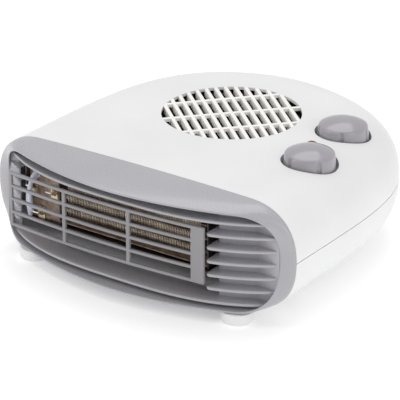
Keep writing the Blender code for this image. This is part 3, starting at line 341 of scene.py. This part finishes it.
def metal(name, colour, roughness=0.35, streak=(1, 1, 1), scale=300.0, shade=0.12):
    """Bare metal whose tone and roughness vary in streaks or blotches."""
    made = bpy.data.materials.new(name)
    made.use_nodes = True
    tree = made.node_tree
    shader = tree.nodes["Principled BSDF"]
    shader.inputs["Metallic"].default_value = 1.0
    place = tree.nodes.new("ShaderNodeTexCoord")
    stretch = tree.nodes.new("ShaderNodeMapping")
    stretch.inputs["Scale"].default_value = streak
    noise = tree.nodes.new("ShaderNodeTexNoise")
    noise.inputs["Scale"].default_value = scale
    noise.inputs["Detail"].default_value = 4.0
    tone = tree.nodes.new("ShaderNodeValToRGB")
    tone.color_ramp.elements[0].position = 0.3
    tone.color_ramp.elements[1].position = 0.7
    tone.color_ramp.elements[0].color = (*[c * (1 - shade) for c in colour], 1)
    tone.color_ramp.elements[1].color = (*[min(1, c * (1 + shade)) for c in colour], 1)
    gloss = tree.nodes.new("ShaderNodeMapRange")
    gloss.inputs["To Min"].default_value = roughness - 0.1
    gloss.inputs["To Max"].default_value = roughness + 0.12
    bump = tree.nodes.new("ShaderNodeBump")
    bump.inputs["Strength"].default_value = 0.3
    bump.inputs["Distance"].default_value = 0.00003
    link(tree, [(place, "Object", stretch, "Vector"), (stretch, "Vector", noise, "Vector"),
                (noise, "Fac", tone, "Fac"), (tone, "Color", shader, "Base Color"),
                (noise, "Fac", gloss, "Value"), (gloss, "Result", shader, "Roughness"),
                (noise, "Fac", bump, "Height"), (bump, "Normal", shader, "Normal")])
    return made


zinc_steel = metal("zinc_steel", (0.56, 0.56, 0.55), 0.38, (1, 1, 1), 160)
# The duct steel's near-black tone is painted shade, for the dark inside of the casing behind the
# element.
shade_dark_duct_steel = metal("shade_dark_duct_steel", (0.125, 0.115, 0.125), 0.42, (1, 1, 6), 120, shade=0.2)
lamination = metal("lamination", (0.26, 0.26, 0.27), 0.5, (1, 1, 12), 220)
enamelled_copper = metal("enamelled_copper", (0.60, 0.26, 0.12), 0.35, (8, 1, 8), 400)
brass = metal("brass", (0.66, 0.55, 0.38), 0.40, (1, 1, 1), 240)
sintered_bronze = metal("sintered_bronze", (0.50, 0.35, 0.20), 0.5, (1, 1, 1), 1500)
bakelite = moulded("bakelite", (0.06, 0.04, 0.035), roughness=0.4, grain=500, shade=0.25)
ceramic = moulded("ceramic", (0.80, 0.77, 0.70), roughness=0.5, grain=900, depth=0.00004)
lamp_glass = moulded("lamp_glass", (0.80, 0.70, 0.62), roughness=0.12, grain=300, depth=0.000005)

INSIDE = {
    zinc_steel: ["motor_bracket_lower", "motor_bracket_upper", "motor_shaft", "function_spindle",
                 "thermostat_spindle", "screw_front_right", "screw_front_left",
                 "screw_rear_right", "screw_rear_left"],
    shade_dark_duct_steel: ["element_duct", "air_guide"],
    lamination: ["motor_stack", "motor_rotor"],
    enamelled_copper: ["motor_coil"],
    brass: ["thermostat_bimetal"],
    sintered_bronze: ["bearing_lower", "bearing_upper"],
    black_plastic: ["impeller", "fan_chamber"],
    bakelite: ["rotary_switch"],
    ceramic: ["thermostat_body", "terminal_block", "thermal_cutout", "thermal_fuse"],
    lamp_glass: ["neon_lamp"],
}


def finish_nodes(rows):
    """Gives carried-over CAD nodes their finish."""
    for finish, names in rows.items():
        for name in names:
            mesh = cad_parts[name].data
            mesh.materials.clear()
            mesh.materials.append(finish)


finish_nodes(INSIDE)


# ---- heating element --------------------------------------------------------------------------
# Three rows of resistance wire wound close on mica strips, between mica end boards. A third board
# at the left holds the brass terminals. The wire has coloured with heat from steel to gold.


def mica_sheet(name, colour, dark):
    """Pressed mica: brown flakes in layers, with a few bright flecks."""
    made = bpy.data.materials.new(name)
    made.use_nodes = True
    tree = made.node_tree
    shader = tree.nodes["Principled BSDF"]
    shader.inputs["Roughness"].default_value = 0.38
    place = tree.nodes.new("ShaderNodeTexCoord")
    flake = tree.nodes.new("ShaderNodeTexVoronoi")
    flake.inputs["Scale"].default_value = 260.0
    cloud = tree.nodes.new("ShaderNodeTexNoise")
    cloud.inputs["Scale"].default_value = 90.0
    cloud.inputs["Detail"].default_value = 6.0
    mixed = tree.nodes.new("ShaderNodeMix")
    mixed.data_type = "FLOAT"
    mixed.inputs["Factor"].default_value = 0.5
    tone = tree.nodes.new("ShaderNodeValToRGB")
    tone.color_ramp.elements[0].position = 0.25
    tone.color_ramp.elements[1].position = 0.75
    tone.color_ramp.elements[0].color = (*dark, 1)
    tone.color_ramp.elements[1].color = (*colour, 1)
    bump = tree.nodes.new("ShaderNodeBump")
    bump.inputs["Strength"].default_value = 0.4
    bump.inputs["Distance"].default_value = 0.0001
    link(tree, [(place, "Object", flake, "Vector"), (place, "Object", cloud, "Vector"),
                (flake, "Distance", mixed, "A"), (cloud, "Fac", mixed, "B"),
                (mixed, "Result", tone, "Fac"), (tone, "Color", shader, "Base Color"),
                (cloud, "Fac", bump, "Height"), (bump, "Normal", shader, "Normal")])
    return made


mica = mica_sheet("mica", (0.40, 0.29, 0.21), (0.16, 0.11, 0.08))
# The end boards' near-black mica is painted shade, for the shadow they stand in behind the guard.
shade_dark_mica = mica_sheet("shade_dark_mica", (0.11, 0.095, 0.085), (0.045, 0.038, 0.036))
finish_nodes({mica: ["mica_top", "mica_bottom", "mica_strip_1", "mica_strip_2",
                     "mica_strip_3", "terminal_board"],
              shade_dark_mica: ["mica_end_left", "mica_end_right"],
              brass: ["terminal_1", "terminal_2", "terminal_3"]})


def swept(path, radius, sides=8):
    """A tube along a path: a ring of points square to the run at each point, with flat ends."""
    run = np.gradient(path, axis=0)
    run /= np.linalg.norm(run, axis=1)[:, None]
    guide = np.array([0.13, 0.27, 1.0])
    side = np.cross(run, guide)
    side /= np.linalg.norm(side, axis=1)[:, None]
    other = np.cross(side, run)
    angle = np.arange(sides) * math.tau / sides
    ring = (side[:, None] * np.cos(angle)[None, :, None]
            + other[:, None] * np.sin(angle)[None, :, None])
    return path[:, None] + ring * np.broadcast_to(radius, len(path))[:, None, None]


WIRE_PITCH, WIRE_RADIUS, ROW_POWER, TURN_STEPS = 0.00134, 0.00033, 0.55, 18


def winding(low, high, pitch, gauge, seed):
    """One row of wire: a helix round a flattened superellipse, each turn a little uneven.

    y and z are the half depth and half height times the cosine and sine to the row power.
    """
    rng = np.random.default_rng(seed)
    inner_low, inner_high = np.array(low) + gauge, np.array(high) - gauge
    turns = int((inner_high[0] - inner_low[0]) / pitch)
    angle = np.linspace(0, math.tau * turns, turns * TURN_STEPS + 1)
    number = angle / math.tau
    sway = np.interp(number, np.arange(turns + 1), rng.normal(0, 0.03, turns + 1))
    swell = np.interp(number, np.arange(turns + 1), rng.uniform(0.96, 1.0, turns + 1))
    middle, half = (inner_low + inner_high) / 2, (inner_high - inner_low) / 2
    x = inner_low[0] + pitch * (number + sway * 0.5) + (pitch * 0.2)
    y = middle[1] - half[1] * signed_power(np.cos(angle), ROW_POWER) * swell
    z = middle[2] + half[2] * signed_power(np.sin(angle), ROW_POWER) * swell
    path = np.stack([np.clip(x, inner_low[0], inner_high[0]), y, z], axis=1)
    outward = np.stack([np.zeros_like(x), y - middle[1], z - middle[2]], axis=1)
    run = np.gradient(path, axis=0)
    run /= np.linalg.norm(run, axis=1)[:, None]
    outward -= run * np.sum(outward * run, axis=1)[:, None]
    outward /= np.linalg.norm(outward, axis=1)[:, None]
    other = np.cross(run, outward)
    round_ = np.arange(6) * math.tau / 6
    ring = (outward[:, None] * np.cos(round_)[None, :, None]
            + other[:, None] * np.sin(round_)[None, :, None]) * gauge
    return path[:, None] + ring, False, True, True


heating_wire = metal("heating_wire", (0.58, 0.49, 0.39), 0.30, (1, 0.3, 0.3), 260, shade=0.30)
for number in (1, 2, 3):
    low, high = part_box(f"heating_coil_{number}")
    row = winding(low, high, WIRE_PITCH, WIRE_RADIUS, number)
    piece(f"wire_row_{number}", mesh_of("wire", [row]),
          heating_wire, replaced=[f"heating_coil_{number}"])


# ---- leads to the element ---------------------------------------------------------------------
# Bluish-white glass-fibre sleeves bring the leads from behind the board down to the brass tabs,
# which are bent out for their push-on connectors and riveted through hollow steel eyelets.

glass_sleeve = moulded("glass_sleeve", (0.62, 0.63, 0.74), roughness=0.6, grain=2600,
                       depth=0.00012, shade=0.10)
plated_tab = metal("plated_tab", (0.90, 0.84, 0.72), 0.42, (1, 1, 1), 200, shade=0.08)
steel_eyelet = metal("steel_eyelet", (0.30, 0.31, 0.33), 0.35, (1, 1, 1), 300)


def bezier(points, count):
    """Points along a cubic curve: its four control points in the Bernstein weights of t."""
    t = np.linspace(0, 1, count)[:, None]
    a, b, c, d = np.array(points, float)
    return (1 - t) ** 3 * a + 3 * t * (1 - t) ** 2 * b + 3 * t * t * (1 - t) * c + t ** 3 * d


SLEEVES = [[(-0.0885, -0.0845, 0.0590), (-0.0950, -0.0930, 0.0560), (-0.0905, -0.0975, 0.0430),
            (-0.0938, -0.0905, 0.0280)],
           [(-0.0905, -0.0850, 0.0540), (-0.0970, -0.0905, 0.0500), (-0.0950, -0.0950, 0.0400),
            (-0.0960, -0.0895, 0.0240)]]
SLEEVE_RADIUS = 0.0016
bodies = [(swept(bezier(route, 40), SLEEVE_RADIUS, 16), False, True, True) for route in SLEEVES]
piece("lead_sleeves", mesh_of("sleeves", bodies), glass_sleeve)

TAB_HALF, TAB_THICKNESS = 0.0024, 0.0008
tabs, eyelets = [], []
for name in ("terminal_1", "terminal_2", "terminal_3"):
    low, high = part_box(name)
    x, z = (low.x + high.x) / 2, (low.z + high.z) / 2
    bend = [(low.y - 0.0001, z - 0.0012), (low.y - 0.0034, z + 0.0004),
            (low.y - 0.0060, z + 0.0024)]
    under, over = -TAB_THICKNESS / 2, TAB_THICKNESS / 2
    rows = [[(x - TAB_HALF, y, h + under), (x + TAB_HALF, y, h + under),
             (x + TAB_HALF, y, h + over), (x - TAB_HALF, y, h + over)] for y, h in bend]
    tabs.append((np.array(rows), False, True, True))
    eyelets.append(turned((x, low.y, z + 0.0030), [(0.0006, -0.0004), (0.0013, -0.0004),
                                                   (0.0013, -0.0001), (0.0010, 0.0002),
                                                   (0.0006, 0.0002)], 24, "Y"))
piece("terminal_tabs", mesh_of("tabs", tabs), plated_tab)
piece("terminal_eyelets", mesh_of("eyelets", eyelets), steel_eyelet)


# ---- front grille -----------------------------------------------------------------------------
# One grey ABS moulding: a band that carries the casing's section forward to a turned-in lip, with
# seven deep fins across it. The middle five are cut away in the window, each ending in a nose.

grey_abs = moulded("grey_abs", (0.395, 0.388, 0.412), roughness=0.28, grain=1800,
                   depth=0.000006, specular=0.6, coat=0.2)

FRONT_BULGE, SIDE_BULGE, RING_POWER = 0.038, 0.0035, 1.9
TOP_CURL, SIDE_CURL, BOTTOM_CURL, CURL_POWER = 0.0046, 0.0108, 0.0006, 2.5
RING_WALL, LIP = 0.0026, 0.0014                 # the band's wall at the seam and at its lip
FIN_PITCH, FIN_COUNT, TOP_FIN_Z = 0.0095, 7, 0.0708
FIN_THICKNESS, FIN_DEPTH = 0.0022, 0.015
FIN_BULGE, FIN_END_BULGE, FIN_HALF, FIN_POWER = 0.031, 0.0030, WIDTH / 2 - 0.012, 3.0
WINDOW_LEFT, WINDOW_RIGHT = -0.0986, 0.0674
GROOVE_DEPTH, GROOVE_WALL, NOSE = 0.0105, 0.0018, 0.0035
NOSE_CURVE = 0.0042                             # radius of a cut end in plan
FIN_BACK = SEAM_Y - 0.0012


def ring_section(steps):
    """The casing's section at the seam, anticlockwise from the front, and inward normals."""
    turn = np.linspace(-math.pi / 2, math.pi / 2, 721)
    inset = RIM * (1 - np.abs(np.cos(turn)) ** (2 / RIM_POWER))
    share = signed_power(np.sin(turn), 2 / RIM_POWER)
    height = PARTING_Z + np.where(share > 0, UPPER_HEIGHT, LOWER_HEIGHT) * share
    right = np.stack([WIDTH / 2 - inset, height], axis=1)
    left = np.stack([inset - WIDTH / 2, height], axis=1)[::-1]
    flat = np.linspace(WIDTH / 2 - RIM, RIM - WIDTH / 2, 401)[1:-1]
    top = np.stack([flat, np.full_like(flat, TOP_Z)], axis=1)
    bottom = np.stack([-flat, np.full_like(flat, PARTING_Z - LOWER_HEIGHT)], axis=1)
    loop = np.vstack([right, top, left, bottom])
    rise = np.clip((loop[:, 1] - PARTING_Z) / UPPER_HEIGHT, 0, 1)
    loop[:, 1] += arch(loop[:, 0], rise)
    loop = even_steps(loop, steps, closed=True)
    run = np.roll(loop, -1, axis=0) - np.roll(loop, 1, axis=0)
    inward = np.stack([-run[:, 1], run[:, 0]], axis=1)
    return loop, inward / np.linalg.norm(inward, axis=1)[:, None]


def bulge(x, middle, end, half, power):
    """How far a bowed edge stands before the seam: the end's plus a falling power of x."""
    return end + (middle - end) * (1 - np.minimum(1, np.abs(x / half)) ** power)


def band_loop(along, deep):
    """A loop of the band, this share along its reach and this deep inside its outer face.

    The section leans in by a power of the reach, more at the sides and top than below.
    """
    loop, inward = ring_section(360)
    up, out = -inward[:, 1], inward[:, 0]
    curl = (TOP_CURL * np.maximum(up, 0) ** 2 + BOTTOM_CURL * np.maximum(-up, 0) ** 2
            + SIDE_CURL * out ** 2)
    reach = bulge(loop[:, 0], FRONT_BULGE, SIDE_BULGE, WIDTH / 2, RING_POWER) - GAP
    slope = CURL_POWER * curl * along ** (CURL_POWER - 1)
    length = np.hypot(slope, reach)
    inset = curl * along ** CURL_POWER + deep * reach / length
    forward = np.maximum(0, reach * along - deep * slope / length)
    place = loop + inward * inset[:, None]
    return np.column_stack([place[:, 0], SEAM_Y - GAP - forward, place[:, 1]])


def band_wall(along):
    """The wall thins evenly towards the lip."""
    return RING_WALL + (LIP - RING_WALL) * along


def band():
    """The band's outer face, its round lip, and its inner face back to the seam."""
    outside = [(0, 0), (.004, 0), (.15, 0), (.3, 0), (.45, 0), (.58, 0), (.7, 0), (.8, 0),
               (.88, 0), (.94, 0), (.97, .03), (.988, .14), (.997, .3), (1, .45)]
    inside = [(1, .6), (.996, .78), (.985, .93), (.965, 1), (.93, 1), (.86, 1), (.76, 1),
              (.64, 1), (.5, 1), (.35, 1), (.18, 1), (0, 1)]
    return np.stack([band_loop(t, band_wall(t) * share) for t, share in outside + inside]), \
        True, True, False


def band_plug():
    """A plug out to the middle of the band's wall, to clip what spans the opening."""
    rows = [band_loop(t, band_wall(t) / 2) for t in np.linspace(0, 1, 11)]
    front = rows[-1].copy()
    front[:, 1] = -0.2
    return mesh_of("plug", [(np.stack(rows + [front]), False, True, True)])


def fin_section(back, front, thick):
    """A fin's section, (depth, height) points: a thin plate with a full round front edge."""
    round_ = np.linspace(math.pi / 2, -math.pi / 2, 11)
    nose = np.stack([front + thick / 2 * (1 - np.cos(round_)), thick / 2 * np.sin(round_)], axis=1)
    upper = np.stack([np.linspace(back, front + thick / 2, 5)[:-1], np.full(4, thick / 2)], axis=1)
    lower = np.stack([upper[::-1, 0], np.full(4, -thick / 2)], axis=1)
    return np.vstack([upper, nose, lower])


def fin_front(x):
    """Where a fin's front edge is at x: the seam less the fins' own bow."""
    return SEAM_Y - bulge(x, FIN_BULGE, FIN_END_BULGE, FIN_HALF, FIN_POWER)


def fin(z, start, end):
    """One fin: its section carried from start to end, drawn in to a round nose at a cut end."""
    span = end - start
    stations = np.linspace(0, 1, 81)
    cut_ends = [x for x in (start, end) if abs(x) < WIDTH / 2 - 0.001]
    if cut_ends:
        fine = np.linspace(0, 1, 17) ** 2 * 0.25
        stations = np.concatenate([fine, np.linspace(0.25, 1, 24)[1:]])
        if cut_ends[0] == end:
            stations = 1 - stations[::-1]
    rows = []
    for x in start + span * stations:
        front, thick = fin_front(x), FIN_THICKNESS
        back = min(front + FIN_DEPTH, FIN_BACK)
        if cut_ends:
            tip, curve, edge = abs(x - cut_ends[0]), NOSE_CURVE, FIN_THICKNESS / 2
            if tip < curve:
                front += curve - math.sqrt(curve ** 2 - (curve - tip) ** 2)
            if tip < edge:
                thick *= max(0.12, math.sqrt(edge ** 2 - (edge - tip) ** 2) / edge)
        section = fin_section(back, front, thick)
        rows.append(np.column_stack([np.full(len(section), x), section[:, 0],
                                     z + section[:, 1]]))
    return np.stack(rows), False, True, True


def groove_wall(edge, side):
    """The closed wall behind the side fins, bowed as their edges are, with a round inner end."""
    low, high = PARTING_Z - LOWER_HEIGHT - 0.001, TOP_Z + TOP_ARCH + 0.001
    across = np.linspace(edge + side * NOSE, side * (WIDTH / 2 - 0.001), 41)
    rows = []
    for number, x in enumerate(across):
        front = min(fin_front(x) + GROOVE_DEPTH, FIN_BACK - GROOVE_WALL - GAP)
        soft = 0.0006 if number == 0 else 0.0
        near, far = front + soft, front + GROOVE_WALL - soft
        rows.append([(x, near, low), (x, far, low), (x, far, high), (x, near, high)])
    return np.array(rows), False, True, True


side = WIDTH / 2 + 0.001
fins = []
for number in range(FIN_COUNT):
    z = TOP_FIN_Z - FIN_PITCH * number
    if number in (0, FIN_COUNT - 1):
        fins.append(fin(z, -side, side))
    else:
        fins += [fin(z, -side, WINDOW_LEFT), fin(z, WINDOW_RIGHT, side)]
walls = mesh_of("walls", [groove_wall(WINDOW_LEFT, -1), groove_wall(WINDOW_RIGHT, 1)])
inner = carve(carve(mesh_of("fins", fins), walls, "UNION"), band_plug(), "INTERSECT")
grille = carve(mesh_of("grille", [band()]), inner, "UNION")
piece("grille_moulding", grille, grey_abs, replaced=["front_grille"])


# ---- guard ------------------------------------------------------------------------------------
# A darker grid that clips into the window in front of the wires: four rows of openings between
# thin bars, three columns, and a broad bar at the controls' end.

guard_grey = moulded("guard_grey", (0.27, 0.262, 0.275), roughness=0.45, grain=900,
                     depth=0.00006, shade=0.09)
guard_low, guard_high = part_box("guard_grid")
GUARD_REACH, GUARD_BOW, GUARD_BAR, GUARD_END_BAR = 0.0295, 0.0045, 0.0022, 0.0095
GUARD_COLUMNS, GUARD_ROWS = (0.0505, 0.1040), 4
GUARD_THICKNESS, GUARD_ROUND = 0.0022, 0.0005
guard_middle, guard_half = (guard_low.x + guard_high.x) / 2, (guard_high.x - guard_low.x) / 2


def guard_y(x):
    """The guard's face: a shallow parabola in plan."""
    return SEAM_Y - GUARD_REACH + GUARD_BOW * ((x - guard_middle) / guard_half) ** 2


def soft_bar(width, depth, round_by):
    """A bar's section, (across, into) points: a rectangle with rounded corners."""
    corner = np.linspace(0, math.pi / 2, 5)
    points = []
    for k, (sx, sy) in enumerate(((1, 1), (-1, 1), (-1, -1), (1, -1))):
        turn = corner + k * math.pi / 2
        points.append(np.stack([sx * (width / 2 - round_by) + round_by * np.cos(turn),
                                sy * (depth / 2 - round_by) + round_by * np.sin(turn)], axis=1))
    return np.vstack(points)


bodies = []
middles = np.linspace(guard_low.z + GUARD_BAR / 2, guard_high.z - GUARD_BAR / 2, GUARD_ROWS + 1)
bar = soft_bar(GUARD_BAR, GUARD_THICKNESS, GUARD_ROUND)
across = np.linspace(guard_low.x + 0.0003, guard_high.x - 0.0003, 60)
for z in middles:
    face = guard_y(across) + GUARD_THICKNESS / 2
    rows = [np.column_stack([np.full(len(bar), x), y + bar[:, 1], z + bar[:, 0]])
            for x, y in zip(across, face)]
    bodies.append((np.stack(rows), False, True, True))
uprights = [(guard_low.x + GUARD_BAR / 2, GUARD_BAR)]
uprights += [(guard_low.x + c - GUARD_BAR / 2, GUARD_BAR * 1.25) for c in GUARD_COLUMNS]
uprights.append((guard_high.x - GUARD_END_BAR / 2, GUARD_END_BAR))
for x, width in uprights:
    post = soft_bar(width, GUARD_THICKNESS + 0.0001, GUARD_ROUND)
    rows = [np.column_stack([x + post[:, 0],
                             guard_y(x + post[:, 0]) + GUARD_THICKNESS / 2 + post[:, 1],
                             np.full(len(post), z)])
            for z in np.linspace(guard_low.z + 0.0002, guard_high.z - 0.0002, 12)]
    bodies.append((np.stack(rows), False, True, True))
piece("guard_bars", mesh_of("guard", bodies), guard_grey, replaced=["guard_grid"])


# ---- top housing ------------------------------------------------------------------------------
# The upper half of the casing, white ABS, with the round air intake and the two knobs' wells
# moulded into it.

KNOBS = {"function": (0.0839, -0.0155), "thermostat": (0.0754, 0.0394)}
WELL_RADIUS, WELL_FLOOR_Z = 0.0195, 0.0745
INTAKE_X, INTAKE_Y, INTAKE_RADIUS = -0.0053, 0.0225, 0.049
LENS_X, LENS_Y, LENS_RADIUS = 0.0692, 0.0098, 0.0030
ABOVE = TOP_Z + TOP_ARCH + 0.004

top = casing_skin("top_housing_shell", True)
low = WELL_FLOOR_Z - WALL
cups = mesh_of("cups", [rod((x, y, 0), WELL_RADIUS + WALL, low, ABOVE, 96)
                        for x, y in KNOBS.values()]
               + [rod((x, y, 0), POST_RADIUS, PARTING_Z + GAP, ABOVE, 24) for x, y in SCREWS])
top = carve(top, carve(cups, casing_plug(True), "INTERSECT"), "UNION")
holes = [rod((INTAKE_X, INTAKE_Y, 0), INTAKE_RADIUS, 0.06, 0.1, 144),
         rod((LENS_X, LENS_Y, 0), LENS_RADIUS + GAP, 0.06, 0.1, 48)]
for x, y in KNOBS.values():
    holes.append(turned((x, y, 0), [(0, low - 0.003), (0.0036, low - 0.003),
                                    (0.0036, WELL_FLOOR_Z), (WELL_RADIUS, WELL_FLOOR_Z),
                                    (WELL_RADIUS, ABOVE), (0, ABOVE)], 96))
holes += [rod((x, y, 0), PILOT_RADIUS, 0.04, PILOT_TOP, 24) for x, y in SCREWS]
top = carve(top, mesh_of("holes", holes))
piece("top_shell", top, white_abs, replaced=["top_housing"])


# ---- intake lattice ---------------------------------------------------------------------------
# Deep slats, slanted across the round intake and tied by three cross bars, moulded in one with
# the top. Their upper edges follow the top's arch.

# The slats get a lighter, creamier copy of the top's white ABS: painted light on their lit faces.
painted_light_abs = moulded("painted_light_abs", (0.90, 0.89, 0.86), roughness=0.40)
SLAT_PITCH, SLAT_THICKNESS = 0.0070, 0.0027
SLAT_DEPTH, CROSS_DEPTH = 0.0055, 0.0025
SLAT_TURN = math.radians(-42.0)
CROSS_PITCH = 0.0265
way = np.array([math.cos(SLAT_TURN), math.sin(SLAT_TURN)])
square = np.array([-way[1], way[0]])


def slat(offset, along, beside, deep, steps):
    """A straight bar across the round hole, cut to its circle, its top under the arch."""
    corner = np.linspace(0, math.pi / 2, 4)
    soft = 0.0004
    edge = SLAT_THICKNESS / 2
    right = np.stack([edge - soft + soft * np.sin(corner),
                      soft * (np.cos(corner) - 1)], axis=1)
    left = np.stack([-right[::-1, 0], right[::-1, 1]], axis=1)
    section = np.vstack([left, right, [(edge, -deep), (-edge, -deep)]])
    span = offset + section[:, 0]
    half = np.sqrt(np.maximum((INTAKE_RADIUS + 0.0004) ** 2 - span ** 2, 1e-8))
    rows = []
    for share in np.linspace(-1, 1, steps):
        place = (np.array([INTAKE_X, INTAKE_Y]) + (half * share)[:, None] * along
                 + span[:, None] * beside)
        rows.append(np.column_stack([place, TOP_Z + arch(place[:, 0], 1.0) - 0.0001
                                     + section[:, 1]]))
    return np.stack(rows), False, True, True


bodies = []
count = int((INTAKE_RADIUS - 0.001) / SLAT_PITCH)
for number in range(-count, count + 1):
    bodies.append(slat(number * SLAT_PITCH, way, square, SLAT_DEPTH, 13))
for offset in (-CROSS_PITCH, 0.0, CROSS_PITCH):
    bodies.append(slat(offset, -square, way, CROSS_DEPTH, 13))
piece("intake_slats", mesh_of("slats", bodies), painted_light_abs)


# ---- knobs and pilot lens ---------------------------------------------------------------------
# Two domed grey knobs in their wells, with grip flutes low on the wall, pushed on steel spindles.
# Between them sits a small amber lens over the neon lamp.

knob_grey = moulded("knob_grey", (0.335, 0.322, 0.352), roughness=0.22, grain=2000,
                    depth=0.000008, shade=0.04, specular=0.6, coat=0.35)


KNOB_CREASE, KNOB_DOME, CREASE_START = 0.0168, 0.0045, 0.90
FLUTES, FLUTE_DEPTH, FLUTE_HALF = 5, 0.0013, 0.0016
KNOB_STEPS, BORE_RADIUS, BORE_DEPTH = 192, 0.0034, 0.010


def knob(name, centre, phase):
    """A turned cap: a dome falling as a power of the radius, a soft crease, a leaning wall.

    Five flutes press into the wall, each a bell curve of the angle that fades at the crease.
    """
    low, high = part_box(name)
    radius, top_z, foot = (high.x - low.x) / 2, high.z, low.z
    crease_r, rise, soft = KNOB_CREASE, KNOB_DOME, CREASE_START
    crease_z = top_z - rise
    dome = np.linspace(0, soft, 22)
    profile = [(crease_r * s, top_z - rise * s ** 2.1) for s in dome]
    edge = profile[-1]
    after = crease_r + 0.0003, crease_z - 0.0014
    turn = np.linspace(0, 1, 10)[1:]
    profile += [((1 - t) ** 2 * edge[0] + 2 * t * (1 - t) * crease_r + t * t * after[0],
                 (1 - t) ** 2 * edge[1] + 2 * t * (1 - t) * crease_z + t * t * after[1])
                for t in turn]
    profile += [(after[0] + (radius - 0.0001 - after[0]) * t,
                 after[1] + (foot + 0.0005 - after[1]) * t) for t in np.linspace(0, 1, 9)[1:]]
    profile += [(radius - 0.0005, foot), (BORE_RADIUS, foot), (BORE_RADIUS, foot + BORE_DEPTH),
                (0, foot + BORE_DEPTH)]
    sheet, close_rows, close_columns, capped = turned((0, 0, 0), profile, KNOB_STEPS)
    r, z = np.array(profile).T
    angle = np.arange(KNOB_STEPS) * math.tau / KNOB_STEPS
    near = (angle[None, :] - math.radians(phase)) * FLUTES / math.tau
    near = (near - np.round(near)) * math.tau / FLUTES
    fade = np.clip((crease_z + 0.0002 - z) / 0.0016, 0, 1) * (r > radius * 0.85)
    press = FLUTE_DEPTH * np.exp(-(near * radius / FLUTE_HALF) ** 4) * fade[:, None]
    scale = 1 - press / np.maximum(r, 1e-6)[:, None]
    sheet = sheet * np.stack([scale, scale, np.ones_like(scale)], axis=-1)
    sheet = sheet + np.array([centre[0], centre[1], 0])
    return sheet, close_rows, close_columns, capped


for name, phase in (("function", 252.6), ("thermostat", 298.0)):
    piece(name + "_cap", mesh_of(name, [knob(name + "_knob", KNOBS[name], phase)]), knob_grey,
          body=name + "_control", replaced=[name + "_knob"], sharp=50)

amber_lens = moulded("amber_lens", (0.20, 0.055, 0.035), roughness=0.2, depth=0.000004)
low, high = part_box("indicator_lens")
radius = (high.x - low.x) / 2
LENS_DOME = 0.0014
dome = [(radius * math.sin(t), high.z - LENS_DOME * (1 - math.cos(t)))
        for t in np.linspace(0, math.pi / 2, 12)]
profile = dome + [(radius, low.z), (0, low.z)]
piece("pilot_lens", mesh_of("lens", [turned((LENS_X, LENS_Y, 0), profile, 48)]), amber_lens,
      replaced=["indicator_lens"])


# ---- floor, light and camera ------------------------------------------------------------------
# A plain pale floor that runs out of sight, a white sky, and three broad square lamps: one
# overhead and two low ones that fill the front and the controls' side.

floor_mesh = bpy.data.meshes.new("floor")
reach = 6.0
floor_mesh.from_pydata([(-reach, -reach, 0), (reach, -reach, 0), (reach, reach, 0),
                        (-reach, reach, 0)], [], [(0, 1, 2, 3)])
floor = bpy.data.objects.new("floor", floor_mesh)
bpy.context.collection.objects.link(floor)
pale = bpy.data.materials.new("pale_floor")
pale.use_nodes = True
pale_shader = pale.node_tree.nodes["Principled BSDF"]
pale_shader.inputs["Base Color"].default_value = (0.92, 0.92, 0.92, 1)
pale_shader.inputs["Roughness"].default_value = 0.8
pale_shader.inputs["Emission Color"].default_value = (1, 1, 1, 1)
pale_shader.inputs["Emission Strength"].default_value = 0.24
floor_mesh.materials.append(pale)

world = bpy.data.worlds.new("studio")
world.use_nodes = True
world.node_tree.nodes["Background"].inputs["Color"].default_value = (1, 1, 1, 1)
world.node_tree.nodes["Background"].inputs["Strength"].default_value = 0.68
bpy.context.scene.world = world
bpy.context.scene.view_settings.view_transform = "Standard"


def lamp(name, place, aim, size, power):
    """A square soft lamp that faces a point."""
    light = bpy.data.lights.new(name, "AREA")
    light.shape, light.size, light.energy = "SQUARE", size, power
    made = bpy.data.objects.new(name, light)
    bpy.context.collection.objects.link(made)
    made.location = place
    made.rotation_euler = (Vector(aim) - Vector(place)).to_track_quat("-Z", "Y").to_euler()


lamp("overhead", (-0.3, 0.3, 1.6), (0, 0, 0.05), 1.4, 10)
lamp("left_front", (-1.1, -1.1, 0.9), (0, 0, 0.05), 0.8, 4)
lamp("right_fill", (1.5, -0.4, 0.6), (0, 0, 0.05), 0.9, 4)

AZIMUTH, ELEVATION, DISTANCE = math.radians(35.35), math.radians(24.04), 1.590
TARGET = Vector((0.03325, -0.0698, 0.0611))
toward = Vector((math.sin(AZIMUTH) * math.cos(ELEVATION), -math.cos(AZIMUTH)
                 * math.cos(ELEVATION), math.sin(ELEVATION)))
lens = bpy.data.cameras.new("camera")
lens.sensor_width, lens.lens = 36.0, 216.4
camera = bpy.data.objects.new("camera", lens)
bpy.context.collection.objects.link(camera)
camera.location = TARGET + toward * DISTANCE
camera.rotation_euler = (-toward).to_track_quat("-Z", "Y").to_euler()
bpy.context.scene.camera = camera
